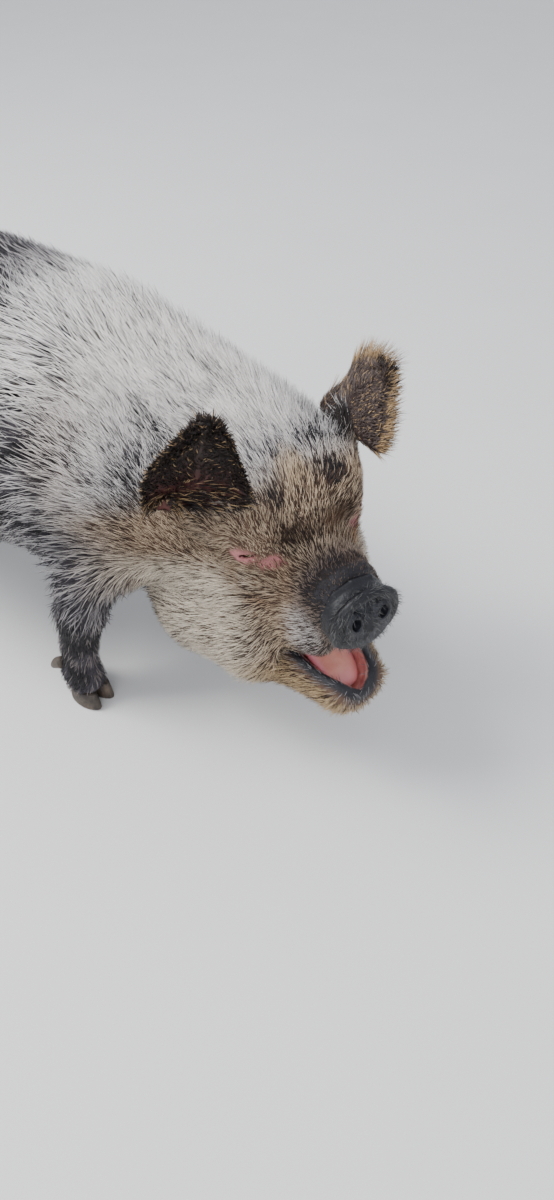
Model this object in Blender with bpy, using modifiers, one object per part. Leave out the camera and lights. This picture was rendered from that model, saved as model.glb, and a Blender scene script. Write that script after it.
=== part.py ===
"""A kunekune pig, life size, standing with its head turned to its right, snout up and mouth open.

The pig faces -Y, its left side is +X and the floor is Z = 0. Lengths are in metres.
The flesh is blended from round forms, dressed with locks of hair, and then parted into nodes by thin cuts.
"""

import math
import random

import bmesh
import bpy
import numpy as np
from mathutils import Matrix, Vector
from mathutils.bvhtree import BVHTree

for obj in list(bpy.data.objects):
    bpy.data.objects.remove(obj)

PARTS = bpy.data.collections.new("kunekune_pig")
CUTTERS = bpy.data.collections.new("cutters")
for group in (PARTS, CUTTERS):
    bpy.context.scene.collection.children.link(group)

# The head: where its own frame stands, and how it is turned.
HEAD_AT = (0.031, -0.489, 0.330)
HEAD_TURN_DEG = -22.0
HEAD_PITCH_DEG = -10.0
HEAD_ROLL_DEG = -3.0
JAW_HINGE = (0.0, 0.03, -0.10)
JAW_OPEN_DEG = 22.0

# The body.
BACK_HEIGHT = 0.60
TRUNK_HALF_WIDTH = 0.234
FORE_FOOT = (0.147, -0.250)
HIND_FOOT = (0.132, 0.372)
HOOF_TOP = 0.034
LEG_TOP = 0.168

# Eyes, in the head's frame.
EYE_AT = (0.0745, -0.087, 0.058)
EYE_RADIUS = 0.0125
LID_RADIUS = 0.0160

# Ears: the base and the tip of each in the head's frame, which way its hollow faces, and its scale.
# The edges are places across the ear, in metres, at shares of the way from the base to the tip.
LEFT_EAR = ((0.1185, -0.0350, 0.1130), (0.1195, -0.0960, 0.2190), (0.92, -0.39, 0.04), 1.05)
RIGHT_EAR = ((0.1000, -0.0525, 0.1120), (0.1080, -0.1240, 0.2660), (0.52, -0.67, -0.54), 1.0)
EAR_FOOT = -0.16
EAR_INNER = (
    (EAR_FOOT, 0.052), (-0.02, 0.036), (0.05, 0.008), (0.11, -0.025), (0.24, -0.050), (0.52, -0.044),
    (0.83, -0.030), (0.97, -0.017), (1.00, -0.010),
)
EAR_OUTER = (
    (EAR_FOOT, 0.066), (0.09, 0.075), (0.34, 0.070), (0.52, 0.059), (0.77, 0.027), (0.91, 0.009),
    (1.00, -0.007),
)
EAR_THICK = 0.009
EAR_TRIANGLES = 540

# Gaps between the nodes.
GAP = 0.0004

# Triangles of the flesh before the locks: the whole first, then with the body thinned further.
FLESH_TRIANGLES = 6500
THINNED_TRIANGLES = 3700
DRESSED_TRIANGLES = 9000

# Locks: length, width and thickness of each named size.
LOCKS = {
    "body": (0.165, 0.084, 0.0110),
    "rump": (0.140, 0.074, 0.0100),
    "mane": (0.105, 0.046, 0.0090),
    "jowl": (0.085, 0.042, 0.0080),
    "brow": (0.045, 0.026, 0.0060),
    "tail": (0.080, 0.020, 0.0060),
}
SEED = 7


def turned(yaw=0.0, pitch=0.0, roll=0.0):
    """A turn about Z, then X, then Y, in degrees."""
    turn = Matrix.Rotation(math.radians(yaw), 4, "Z")
    turn = turn @ Matrix.Rotation(math.radians(pitch), 4, "X")
    return turn @ Matrix.Rotation(math.radians(roll), 4, "Y")


WORLD = Matrix.Identity(4)
HEAD = Matrix.Translation(HEAD_AT) @ turned(HEAD_TURN_DEG, HEAD_PITCH_DEG, HEAD_ROLL_DEG)
JAW = HEAD @ Matrix.Translation(JAW_HINGE) @ turned(pitch=JAW_OPEN_DEG)


def material(name, colour, roughness):
    made = bpy.data.materials.new(name)
    made.use_nodes = True
    shader = made.node_tree.nodes["Principled BSDF"]
    shader.inputs["Base Color"].default_value = (*colour, 1.0)
    shader.inputs["Roughness"].default_value = roughness
    return made


COAT = material("coat", (0.34, 0.31, 0.29), 0.85)
FACE = material("face", (0.33, 0.24, 0.17), 0.85)
DARK = material("dark_hair", (0.09, 0.07, 0.06), 0.85)
BARE = material("bare_snout", (0.06, 0.06, 0.07), 0.45)
PINK = material("tongue", (0.72, 0.38, 0.36), 0.40)
HORN = material("horn", (0.12, 0.10, 0.09), 0.55)
WET = material("eye", (0.05, 0.03, 0.02), 0.10)


def ball(centre, radii, frame=WORLD, turn=WORLD, segments=32, rings=16):
    """An ellipsoid in a frame."""
    bpy.ops.mesh.primitive_uv_sphere_add(segments=segments, ring_count=rings, radius=1.0)
    obj = bpy.context.object
    obj.matrix_world = frame @ Matrix.Translation(centre) @ turn @ Matrix.Diagonal((*radii, 1.0))
    return obj


def box(low, high, frame=WORLD):
    """A box between two corners in a frame."""
    bpy.ops.mesh.primitive_cube_add(size=1.0)
    obj = bpy.context.object
    low, high = Vector(low), Vector(high)
    middle = Matrix.Translation((low + high) / 2)
    obj.matrix_world = frame @ middle @ Matrix.Diagonal((*(high - low), 1.0))
    return obj


def limb(points, radii, frame=WORLD, segments=24):
    """Round cones from point to point, with a ball at each point."""
    made = [ball(p, (r, r, r), frame, segments=segments, rings=12) for p, r in zip(points, radii)]
    for a, b, ra, rb in zip(points, points[1:], radii, radii[1:]):
        a, b = Vector(a), Vector(b)
        bpy.ops.mesh.primitive_cone_add(
            vertices=segments, radius1=ra, radius2=rb, depth=(b - a).length
        )
        cone = bpy.context.object
        aim = (b - a).to_track_quat("Z", "Y").to_matrix().to_4x4()
        cone.matrix_world = frame @ Matrix.Translation((a + b) / 2) @ aim
        made.append(cone)
    return made


def ridge(points, radii, frame=WORLD):
    """A round ridge along a smooth curve, thinning as its radii say."""
    data = bpy.data.curves.new("ridge", "CURVE")
    data.dimensions = "3D"
    data.bevel_depth = 1.0
    data.bevel_resolution = 3
    data.resolution_u = 4
    data.use_fill_caps = True
    line = data.splines.new("NURBS")
    line.points.add(len(points) - 1)
    line.order_u = 3
    line.use_endpoint_u = True
    for spot, point, radius in zip(line.points, points, radii):
        spot.co = (*point, 1.0)
        spot.radius = radius
    obj = bpy.data.objects.new("ridge", data)
    bpy.context.scene.collection.objects.link(obj)
    obj.matrix_world = frame
    return obj


def both(make, centre, *rest, **more):
    """The same form on the left and on the right."""
    x, y, z = centre
    return [make((x, y, z), *rest, **more), make((-x, y, z), *rest, **more)]


def joined(name, objects):
    """One mesh object from several, with the sources removed. Its points are in world space."""
    bpy.context.view_layer.update()
    graph = bpy.context.evaluated_depsgraph_get()
    shape = bmesh.new()
    for obj in objects:
        evaluated = obj.evaluated_get(graph)
        mesh = evaluated.to_mesh()
        mesh.transform(obj.matrix_world)
        shape.from_mesh(mesh)
        evaluated.to_mesh_clear()
    mesh = bpy.data.meshes.new(name)
    shape.to_mesh(mesh)
    shape.free()
    for obj in objects:
        bpy.data.objects.remove(obj)
    made = bpy.data.objects.new(name, mesh)
    bpy.context.scene.collection.objects.link(made)
    return made


def settled(obj):
    """The object with its modifiers applied."""
    bpy.context.view_layer.update()
    graph = bpy.context.evaluated_depsgraph_get()
    mesh = bpy.data.meshes.new_from_object(obj.evaluated_get(graph))
    obj.modifiers.clear()
    obj.data = mesh
    return obj


def blended(name, objects, voxel, rounds, triangles=None):
    """Forms melted into one skin: a voxel remesh, smoothing, and thinning to a number of triangles."""
    made = joined(name, objects)
    remesh = made.modifiers.new("remesh", "REMESH")
    remesh.mode = "VOXEL"
    remesh.voxel_size = voxel
    smooth = made.modifiers.new("smooth", "SMOOTH")
    smooth.factor = 0.5
    smooth.iterations = rounds
    settled(made)
    if triangles:
        thin = made.modifiers.new("thin", "DECIMATE")
        thin.ratio = triangles / (2.0 * len(made.data.polygons))
        settled(made)
    return made


def boolean(obj, operation, others):
    """A Boolean with one object or a list of them, applied, and the others removed.

    The exact solver leaves locks that touch along an edge, so this uses the manifold one."""
    others = others if isinstance(others, list) else [others]
    for other in others:
        CUTTERS.objects.link(other)
    step = obj.modifiers.new(operation.lower(), "BOOLEAN")
    step.operation = operation
    step.solver = "MANIFOLD"
    step.operand_type = "COLLECTION"
    step.collection = CUTTERS
    settled(obj)
    for other in others:
        bpy.data.objects.remove(other)
    return obj


def copied(obj, name, grow=0.0):
    """A copy, with its surface moved out along the normals."""
    made = obj.copy()
    made.data = obj.data.copy()
    made.name = name
    bpy.context.scene.collection.objects.link(made)
    if grow:
        step = made.modifiers.new("grow", "DISPLACE")
        step.strength = grow
        step.mid_level = 0.0
        settled(made)
    return made


def largest(obj):
    """The object with only its largest closed surface kept."""
    shape = bmesh.new()
    shape.from_mesh(obj.data)
    bmesh.ops.triangulate(shape, faces=shape.faces)
    shape.faces.ensure_lookup_table()
    seen = set()
    shells = []
    for start in shape.faces:
        if start.index in seen:
            continue
        seen.add(start.index)
        shell = [start]
        for face in shell:
            for edge in face.edges:
                for other in edge.link_faces:
                    if other.index not in seen:
                        seen.add(other.index)
                        shell.append(other)
        volume = sum(f.verts[0].co.dot(f.verts[1].co.cross(f.verts[2].co)) for f in shell)
        shells.append((volume, shell))
    shells.sort(key=lambda pair: pair[0])
    lost = [face for _, shell in shells[:-1] for face in shell]
    bmesh.ops.delete(shape, geom=lost, context="FACES")
    loose = [vert for vert in shape.verts if not vert.link_faces]
    bmesh.ops.delete(shape, geom=loose, context="VERTS")
    shape.to_mesh(obj.data)
    shape.free()
    return obj


def untouching(obj):
    """Edges that more than two faces meet at are parted: their points are moved in a little, one by one."""
    shape = bmesh.new()
    shape.from_mesh(obj.data)
    spots = {}
    for vert in shape.verts:
        spots.setdefault(tuple(round(c, 7) for c in vert.co), []).append(vert)
    for twins in spots.values():
        for vert in twins[1:]:
            vert.co -= vert.normal * 0.00004
    shape.to_mesh(obj.data)
    shape.free()
    return obj


def finished(obj, name, look):
    """The node under its name, with one material and its largest surface."""
    obj.name = name
    obj.data.name = name
    obj.data.materials.clear()
    obj.data.materials.append(look)
    untouching(largest(obj))
    obj.data.shade_smooth()
    for group in list(obj.users_collection):
        group.objects.unlink(obj)
    PARTS.objects.link(obj)
    return obj


def trunk_forms():
    """The barrel, the broad back, the rump, the shoulders and the hams."""
    width = TRUNK_HALF_WIDTH
    made = [
        ball((0, 0.375, 0.408), (0.85 * width, 0.205, BACK_HEIGHT - 0.408)),
        ball((0, 0.090, 0.376), (width, 0.350, BACK_HEIGHT - 0.376)),
        ball((0, -0.173, 0.407), (0.79 * width, 0.235, BACK_HEIGHT - 0.407)),
        ball((0, 0.255, 0.396), (0.90 * width, 0.220, BACK_HEIGHT - 0.396)),
        ball((0, 0.470, 0.430), (0.130, 0.128, 0.130)),
    ]
    made += both(ball, (0.085, 0.000, 0.453), (0.114, 0.330, 0.135))
    made += both(ball, (0.086, -0.260, 0.324), (0.060, 0.114, 0.127))
    made += both(ball, (0.110, 0.350, 0.313), (0.103, 0.150, 0.168))
    return made


def neck_forms():
    """The neck, from the shoulders to behind the ears, with its high crest."""
    back = Vector((0.0, -0.20, 0.402))
    front = HEAD @ Vector((0.0, 0.060, 0.010))
    middle = (back + front) / 2 + Vector((0.0, 0.0, 0.032))
    made = limb([back, middle, front], [0.180, 0.146, 0.142])
    crest = HEAD @ Vector((0.0, 0.040, 0.094))
    made += limb([Vector((0.0, -0.26, 0.483)), crest], [0.118, 0.102])
    return made


def leg_forms():
    """The four legs, from inside the trunk down to the hoofs."""
    made = []
    for side in (1, -1):
        x, y = FORE_FOOT
        fore = [
            (x - 0.024, y - 0.030, 0.270),
            (x - 0.013, y - 0.015, 0.190),
            (x - 0.005, y - 0.002, 0.115),
            (x, y + 0.002, 0.060),
            (x, y - 0.006, 0.036),
        ]
        made += limb([(side * a, b, c) for a, b, c in fore], [0.050, 0.040, 0.027, 0.028, 0.032])
        x, y = HIND_FOOT
        hind = [
            (x - 0.012, y - 0.045, 0.280),
            (x, y - 0.050, 0.200),
            (x, y + 0.030, 0.140),
            (x, y + 0.016, 0.064),
            (x, y - 0.002, 0.036),
        ]
        made += limb([(side * a, b, c) for a, b, c in hind], [0.110, 0.080, 0.040, 0.030, 0.032])
    return made


def skull_forms():
    """The large forms of the head, in its own frame: cranium, cheeks, jowls and the root of the muzzle."""
    made = [
        ball((0, -0.015, 0.060), (0.101, 0.112, 0.101), HEAD),
        ball((0, -0.070, 0.020), (0.068, 0.066, 0.074), HEAD),
    ]
    made += both(ball, (0.062, -0.058, 0.098), (0.042, 0.060, 0.052), frame=HEAD)
    made += both(ball, (0.058, -0.015, -0.045), (0.054, 0.092, 0.084), frame=HEAD)
    made += both(ball, (0.091, 0.060, -0.093), (0.072, 0.107, 0.077), frame=HEAD)
    made += both(ball, (0.060, -0.034, -0.125), (0.063, 0.063, 0.063), frame=HEAD)
    made += limb([(0, -0.050, -0.010), (0, -0.160, -0.018)], [0.074, 0.052], HEAD)
    return made


def muzzle_forms():
    """The smaller forms of the head: the muzzle, the brows, the upper lips and the folds of skin."""
    made = limb([(0, -0.080, -0.012), (0, -0.190, -0.020)], [0.060, 0.046], HEAD)
    made += both(ball, (0.049, -0.066, 0.060), (0.045, 0.050, 0.044), frame=HEAD)
    made += both(ball, (0.036, -0.112, -0.068), (0.033, 0.068, 0.037), frame=HEAD)
    left_half = [(0.044, -0.164, 0.006), (0.028, -0.172, 0.027)]
    fold = [(-x, y, z) for x, y, z in left_half] + [(0, -0.176, 0.034)] + left_half[::-1]
    made.append(ridge(fold, [0.004, 0.009, 0.010, 0.009, 0.004], HEAD))
    for side in (1, -1):
        over = [(side * 0.030, -0.112, 0.080), (side * 0.062, -0.106, 0.086), (side * 0.086, -0.064, 0.074)]
        under = [(side * 0.046, -0.114, 0.036), (side * 0.072, -0.096, 0.028), (side * 0.088, -0.060, 0.034)]
        made.append(ridge(over, [0.006, 0.010, 0.005], HEAD))
        made.append(ridge(under, [0.003, 0.006, 0.003], HEAD))
    return made


def jaw_forms():
    """The lower jaw in its own frame: two sides, the chin and the floor between them."""
    made = [
        ball((0, -0.095, -0.030), (0.050, 0.115, 0.036), JAW),
        ball((0, -0.198, -0.002), (0.040, 0.034, 0.034), JAW),
    ]
    for side in (1, -1):
        made += limb(
            [(side * 0.060, -0.020, -0.010), (side * 0.042, -0.110, -0.014), (side * 0.021, -0.198, 0.012)],
            [0.048, 0.035, 0.028], JAW,
        )
    return made


def mouth_hollow():
    """The inside of the mouth: the trough of the lower jaw and the arch of the palate, as one cutter."""
    trough = ball((0, -0.122, 0.022), (0.034, 0.094, 0.036), JAW)
    palate = ball((0, -0.105, -0.118), (0.033, 0.085, 0.036), HEAD, turned(pitch=10))
    return blended("mouth_hollow", [trough, palate], 0.004, 2)


def lock(tree, root, normal, along, size, rng, lift):
    """A flat, tapered lock of hair that follows the skin: a ridged section that widens, bends and thins."""
    length, width, thick = (value * rng.uniform(0.86, 1.14) for value in LOCKS[size])
    bend = rng.uniform(-0.16, 0.16)
    rise = lift * rng.uniform(0.75, 1.25) * length
    place = root
    points = [root - normal * (1.6 * thick) - along * (0.06 * length)]
    step = length / 4.0
    for share, width_share in ((0.0, 0.70), (0.32, 1.0), (0.62, 0.78), (0.84, 0.42), (1.0, 0.0)):
        side = normal.cross(along).normalized()
        half = width * width_share / 2
        height = rise * share * share
        if share < 1.0:
            points.append(place - side * half + normal * (height - 0.45 * thick))
            points.append(place + normal * (height + 0.75 * thick * (1.0 - 0.4 * share)))
            points.append(place + side * half + normal * (height - 0.45 * thick))
        else:
            points.append(place + normal * (height + 0.1 * thick))
        along = (along + side * (bend * 0.5)).normalized()
        near, near_normal = place + along * step, normal
        if tree:
            near, near_normal, _, _ = tree.find_nearest(near)
        step = length * (0.30, 0.30, 0.22, 0.16, 0.0)[min(4, (len(points) - 1) // 3)]
        normal = (normal + near_normal * 2.0).normalized()
        place = near
        along = (along - normal * along.dot(normal)).normalized()
    faces = [(0, 1 + i, 1 + (i + 1) % 3) for i in range(3)]
    for row in range(3):
        for i in range(3):
            a, b = 1 + 3 * row + i, 1 + 3 * row + (i + 1) % 3
            faces += [(a, a + 3, b + 3), (a, b + 3, b)]
    faces += [(13, 10 + (i + 1) % 3, 10 + i) for i in range(3)]
    mesh = bpy.data.meshes.new("lock")
    mesh.from_pydata([tuple(p) for p in points], [], faces)
    shape = bmesh.new()
    shape.from_mesh(mesh)
    bmesh.ops.recalc_face_normals(shape, faces=shape.faces)
    shape.to_mesh(mesh)
    shape.free()
    obj = bpy.data.objects.new("lock", mesh)
    bpy.context.scene.collection.objects.link(obj)
    return obj


def flesh():
    """Trunk, neck, legs and head as one smooth body, with the mouth hollowed out."""
    body = blended("body", trunk_forms() + neck_forms() + skull_forms(), 0.010, 16)
    upper = blended("upper", [body] + muzzle_forms() + leg_forms(), 0.0052, 9)
    slot = ball((0, -0.128, -0.128), (0.075, 0.080, 0.030), HEAD, turned(pitch=11))
    boolean(upper, "DIFFERENCE", slot)
    boolean(upper, "DIFFERENCE", box((-0.09, -0.30, -0.090), (0.09, -0.190, 0.08), HEAD))
    jaw = blended("jaw", jaw_forms(), 0.005, 8)
    whole = blended("whole", [upper, jaw], 0.0046, 4)
    boolean(whole, "DIFFERENCE", mouth_hollow())
    shape = bmesh.new()
    shape.from_mesh(whole.data)
    bmesh.ops.triangulate(shape, faces=shape.faces)
    shape.to_mesh(whole.data)
    shape.free()
    thin = whole.modifiers.new("thin", "DECIMATE")
    thin.ratio = FLESH_TRIANGLES / len(whole.data.polygons)
    settled(whole)
    coarse = whole.vertex_groups.new(name="coarse")
    to_head = HEAD.inverted()
    upper = [v.index for v in whole.data.vertices if (to_head @ v.co).y > 0.02 and v.co.z > 0.15]
    coarse.add(upper, 1.0, "REPLACE")
    thin = whole.modifiers.new("thin", "DECIMATE")
    thin.ratio = THINNED_TRIANGLES / len(whole.data.polygons)
    thin.vertex_group = "coarse"
    settled(whole)
    whole.vertex_groups.clear()
    return whole


def add_lids(flesh_obj):
    """Round lids over each eye, with a socket behind them and a narrow slit between them."""
    domes = both(ball, EYE_AT, (LID_RADIUS, LID_RADIUS, LID_RADIUS), frame=HEAD, segments=16, rings=8)
    boolean(flesh_obj, "UNION", domes)
    socket = EYE_RADIUS + GAP
    cuts = both(ball, EYE_AT, (socket, socket, socket), frame=HEAD, segments=14, rings=8)
    for side in (1, -1):
        x, y, z = EYE_AT
        slit = turned(yaw=side * 48, roll=side * 10)
        cuts.append(ball((side * (x + 0.011), y - 0.010, z - 0.001), (0.0135, 0.014, 0.0030), HEAD, slit,
                         segments=14, rings=8))
    boolean(flesh_obj, "DIFFERENCE", joined_cutters(cuts))


def joined_cutters(cutters):
    """Overlapping cutters fused into one."""
    first = joined("cutter", [cutters[0]])
    rest = [joined("cutter", [other]) for other in cutters[1:]]
    return boolean(first, "UNION", rest)


def snout_disc():
    """The bare disc of the snout, with its rim, its fold and the two nostrils."""
    forms = [
        ball((0.000, -0.201, -0.022), (0.050, 0.019, 0.042), HEAD, turned(pitch=-6)),
        ball((0.000, -0.186, -0.020), (0.047, 0.024, 0.042), HEAD),
    ]
    around = [(0.045 * math.cos(a), -0.208 - 0.006 * math.sin(a), -0.020 + 0.037 * math.sin(a))
              for a in np.radians(np.linspace(-35, 215, 15))]
    forms.append(ridge(around, [0.004] + [0.0072] * 13 + [0.004], HEAD))
    fold = [(0, -0.216, -0.014), (0, -0.218, -0.030), (0, -0.214, -0.048)]
    forms.append(ridge(fold, [0.004, 0.006, 0.003], HEAD))
    disc = blended("snout", forms, 0.0026, 4, 1000)
    holes = both(ball, (0.0190, -0.224, -0.014), (0.0082, 0.018, 0.0110), frame=HEAD, segments=14, rings=8)
    boolean(disc, "DIFFERENCE", holes)
    return disc


def ear(side, base, tip, face, scale):
    """One ear: a leaf between its inner and its outer edge, cupped towards its face, on a short root."""
    base, tip, face = Vector(base), Vector(tip), Vector(face)
    up = (tip - base).normalized()
    face = (face - up * face.dot(up)).normalized()
    across = face.cross(up)
    if across.x < 0:
        across = -across
    reach = (tip - base).length
    rows, columns = 12, 9
    points = []
    for v in np.linspace(EAR_FOOT, 1.0, rows):
        inner = scale * float(np.interp(v, *zip(*EAR_INNER)))
        outer = scale * float(np.interp(v, *zip(*EAR_OUTER)))
        for u in np.linspace(-1.0, 1.0, columns):
            cup = 0.030 * (1.0 - 0.55 * max(v, 0.0)) * (u * u - 0.35) + 0.016 * v * v
            beside = (inner + outer) / 2 + u * (outer - inner) / 2 + 0.010 * v
            spot = base + up * (v * reach) + across * beside + face * cup
            points.append((side * spot.x, spot.y, spot.z))
    faces = []
    for i in range(rows - 1):
        for j in range(columns - 1):
            a = i * columns + j
            faces.append((a, a + 1, a + columns + 1, a + columns))
    mesh = bpy.data.meshes.new("ear")
    mesh.from_pydata(points, [], faces)
    leaf = bpy.data.objects.new("ear", mesh)
    bpy.context.scene.collection.objects.link(leaf)
    leaf.matrix_world = HEAD
    shell = leaf.modifiers.new("shell", "SOLIDIFY")
    shell.thickness = EAR_THICK
    shell.offset = 0.0
    end = base - face * 0.010 + up * 0.024
    root = Vector((0.086, -0.045, 0.092))
    stalk = limb([(side * root.x, root.y, root.z), (side * end.x, end.y, end.z)], [0.034, 0.022], HEAD)
    return blended("ear", [leaf] + stalk, 0.0034, 5, EAR_TRIANGLES)


def claw(x, y, inner):
    """One claw of a hoof, flat on the floor and flat under the leg."""
    shell = ball((x + inner * 0.0143, y - 0.012, 0.006), (0.0138, 0.0285, 0.056), segments=14, rings=8)
    slab = box((-1, -1, 0), (1, 1, HOOF_TOP - GAP))
    return boolean(joined("claw", [shell]), "INTERSECT", joined("slab", [slab]))


def dewclaw(x, y):
    """A dewclaw behind the foot, with its root inside the leg."""
    cone = limb([(x, y + 0.020, 0.076), (x, y + 0.046, 0.053)], [0.0105, 0.0050])
    return blended("dewclaw", cone, 0.0022, 2, 50)


def tongue():
    """The tongue, resting in the trough of the jaw."""
    forms = [
        ball((0, -0.128, 0.002), (0.0265, 0.070, 0.0120), JAW, turned(pitch=-4)),
        ball((0, -0.085, -0.001), (0.0240, 0.050, 0.0130), JAW),
    ]
    return blended("tongue", forms, 0.0035, 5, 240)


def tail():
    """The thin hanging tail, with a tuft of locks at its end."""
    rng = random.Random(SEED + 2)
    points = [
        (0, 0.560, 0.488), (0, 0.602, 0.452), (0.006, 0.622, 0.395), (0.014, 0.622, 0.335), (0.010, 0.612, 0.290),
    ]
    made = blended("tail", limb(points, [0.026, 0.020, 0.015, 0.012, 0.0095]), 0.0050, 6, 260)
    tuft = []
    for k in range(6):
        angle = math.radians(60 * k + 15)
        out = Vector((math.sin(angle), math.cos(angle), 0.0))
        root = Vector((0.011, 0.614, 0.300 + 0.012 * (k % 2))) + out * 0.006
        tuft.append(lock(None, root, out, Vector((0, 0, -1)), "tail", rng, 0.10))
    return boolean(made, "UNION", tuft)


def flow(point, normal):
    """The lie of the coat: back over the trunk, down on flanks and haunches, back and down on the head."""
    local = HEAD.inverted() @ point
    ahead = min(1.0, max(0.0, (0.16 - local.y) / 0.14))
    side = abs(normal.x)
    down = 0.20 + 0.35 * side
    if point.z < 0.34:
        down += 0.9 * (0.34 - point.z) / 0.15 * side
    body_way = Vector((0.12 * math.copysign(side, point.x), 1.0, -down * min(1.0, side * 2.0)))
    head_way = HEAD.to_3x3() @ Vector((0.25 * math.copysign(1, local.x), 1.0, -0.45 - 0.3 * (local.z < -0.05)))
    way = body_way.normalized() * (1.0 - ahead) + head_way.normalized() * ahead
    return (way - normal * way.dot(normal)).normalized()


def clear_of(point, spots):
    """Whether a point is far enough from every spot."""
    return all((point - spot).length > reach for spot, reach in spots)


def coat_roots(tree):
    """Roots of the locks: rings round the trunk and neck, rows on the head. Each is (point, normal, size, lift)."""
    rng = random.Random(SEED)
    found = []

    def cast(origin, way, size, lift):
        point, normal, _, _ = tree.ray_cast(origin, way)
        if point is not None and normal.dot(way) > 0:
            found.append((point, normal, size, lift))

    y = -0.235
    ring = 0
    while y < 0.60:
        count = 14 if y < 0.40 else 12 if y < 0.50 else 8
        centre = Vector((0, min(y, 0.50), 0.385 if y < 0.50 else 0.42))
        back = max(0.0, y - 0.46) * 5.0
        for k in range(count):
            angle = 2.0 * math.pi * (k + 0.5 * (ring % 2)) / count + rng.uniform(-0.05, 0.05)
            way = Vector((math.sin(angle), back + rng.uniform(-0.04, 0.04), math.cos(angle))).normalized()
            if math.cos(angle) < -0.80:
                continue
            cast(centre, way, "body" if y < 0.36 else "rump", 0.10)
        y += 0.106
        ring += 1
    behind = HEAD @ Vector((0, 0.075, 0.0))
    for row, share in enumerate((0.15, 0.52, 0.90)):
        centre = Vector((0, -0.25, 0.40)).lerp(behind, share)
        axis = (behind - Vector((0, -0.25, 0.40))).normalized()
        right = axis.cross(Vector((0, 0, 1))).normalized()
        top = right.cross(axis)
        for k in range(13):
            angle = 2.0 * math.pi * (k + 0.5 * (row % 2)) / 13 + rng.uniform(-0.06, 0.06)
            way = right * math.sin(angle) + top * math.cos(angle)
            if math.cos(angle) < -0.88:
                continue
            crest = math.cos(angle) > 0.55
            cast(centre, way, "mane", 0.17 if crest else 0.11)
    for row, y in enumerate((-0.030, 0.020, 0.066)):
        for side in (1, -1):
            for k in range(4):
                angle = math.radians(-70 + 31 * k + 12 * (row % 2))
                way = HEAD.to_3x3() @ Vector((side * math.cos(angle), rng.uniform(-0.05, 0.05), math.sin(angle)))
                cast(HEAD @ Vector((side * 0.02, y, -0.055)), way, "jowl", 0.13)
    for y, z in ((-0.060, 0.06), (0.000, 0.06)):
        for k in range(4):
            angle = math.radians(-42 + 28 * k)
            way = HEAD.to_3x3() @ Vector((math.sin(angle), -0.35 if y < -0.03 else 0.0, math.cos(angle)))
            cast(HEAD @ Vector((0, y, z)), way.normalized(), "mane" if y > -0.03 else "brow", 0.13)
    return found


def dressed(flesh_obj):
    """The flesh with its locks fused on by one union."""
    rng = random.Random(SEED + 1)
    shape = bmesh.new()
    shape.from_mesh(flesh_obj.data)
    tree = BVHTree.FromBMesh(shape)
    shape.free()
    spots = [(Vector((0, 0.585, 0.470)), 0.075)]
    for side in (1, -1):
        spots.append((HEAD @ Vector((side * 0.110, -0.062, 0.115)), 0.060))
        spots.append((HEAD @ Vector((side * EYE_AT[0], EYE_AT[1], EYE_AT[2])), 0.036))
    locks = []
    for point, normal, size, lift in coat_roots(tree):
        along = flow(point, normal)
        reach = LOCKS[size][0]
        clear = all(clear_of(point + along * (reach * share), spots) for share in (0.0, 0.5, 1.0))
        if clear and point.z > 0.17:
            locks.append(lock(tree, point, normal, along, size, rng, lift))
    boolean(flesh_obj, "UNION", locks)
    largest(flesh_obj)
    thin = flesh_obj.modifiers.new("thin", "DECIMATE")
    thin.ratio = DRESSED_TRIANGLES / len(flesh_obj.data.polygons)
    return settled(flesh_obj)


def split(obj, low, high, frame):
    """The piece of an object inside a box, and the rest of it, with a thin gap between them."""
    inside = copied(obj, "piece")
    boolean(inside, "INTERSECT", joined("region", [box(low, high, frame)]))
    low, high = Vector(low), Vector(high)
    grow = Vector((GAP, GAP, GAP))
    boolean(obj, "DIFFERENCE", joined("region", [box(low - grow, high + grow, frame)]))
    return inside


def fitted(obj, neighbour):
    """The object cut clear of its neighbour by the gap."""
    boolean(obj, "DIFFERENCE", copied(neighbour, "grown", GAP))
    return obj


body = dressed(flesh())
add_lids(body)
boolean(body, "DIFFERENCE", joined("sole", [box((-1, -1, -1), (1, 1, HOOF_TOP))]))

disc = fitted(snout_disc(), body)
made_tongue = fitted(tongue(), body)
ears = {"left": fitted(ear(1, *LEFT_EAR), body), "right": fitted(ear(-1, *RIGHT_EAR), body)}
made_tail = fitted(tail(), body)
dewclaws = {}
for end, (x, y) in (("front", FORE_FOOT), ("hind", HIND_FOOT)):
    for name, side in (("left", 1), ("right", -1)):
        for place, inner in (("outer", side), ("inner", -side)):
            made = fitted(dewclaw(side * x + inner * 0.017, y), body)
            dewclaws["dewclaw_" + end + "_" + name + "_" + place] = made
            finished(claw(side * x, y, inner), "hoof_" + end + "_" + name + "_" + place, HORN)

mouth = HEAD @ Matrix.Translation(JAW_HINGE) @ turned(pitch=JAW_OPEN_DEG / 2)
shoulder = Matrix.Translation((0, -0.270, 0.400)) @ turned(yaw=-8, pitch=-20)
legs = {}
for name, side in (("left", 1), ("right", -1)):
    for end, (x, y), back in (("front", FORE_FOOT, 0.10), ("hind", HIND_FOOT, 0.12)):
        frame = Matrix.Translation((side * x, y, LEG_TOP)) @ turned(roll=-side * 9)
        legs["leg_" + end + "_" + name] = split(body, (-0.075, -0.13, -0.30), (0.075, back, 0.0), frame)
jaw_piece = split(body, (-0.12, -0.35, -0.25), (0.12, -0.112, 0.0), mouth)
head_piece = split(body, (-0.40, -0.40, -0.50), (0.40, 0.075, 0.50), HEAD)
neck_piece = split(body, (-0.50, -0.60, -0.60), (0.50, 0.0, 0.60), shoulder)

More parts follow.
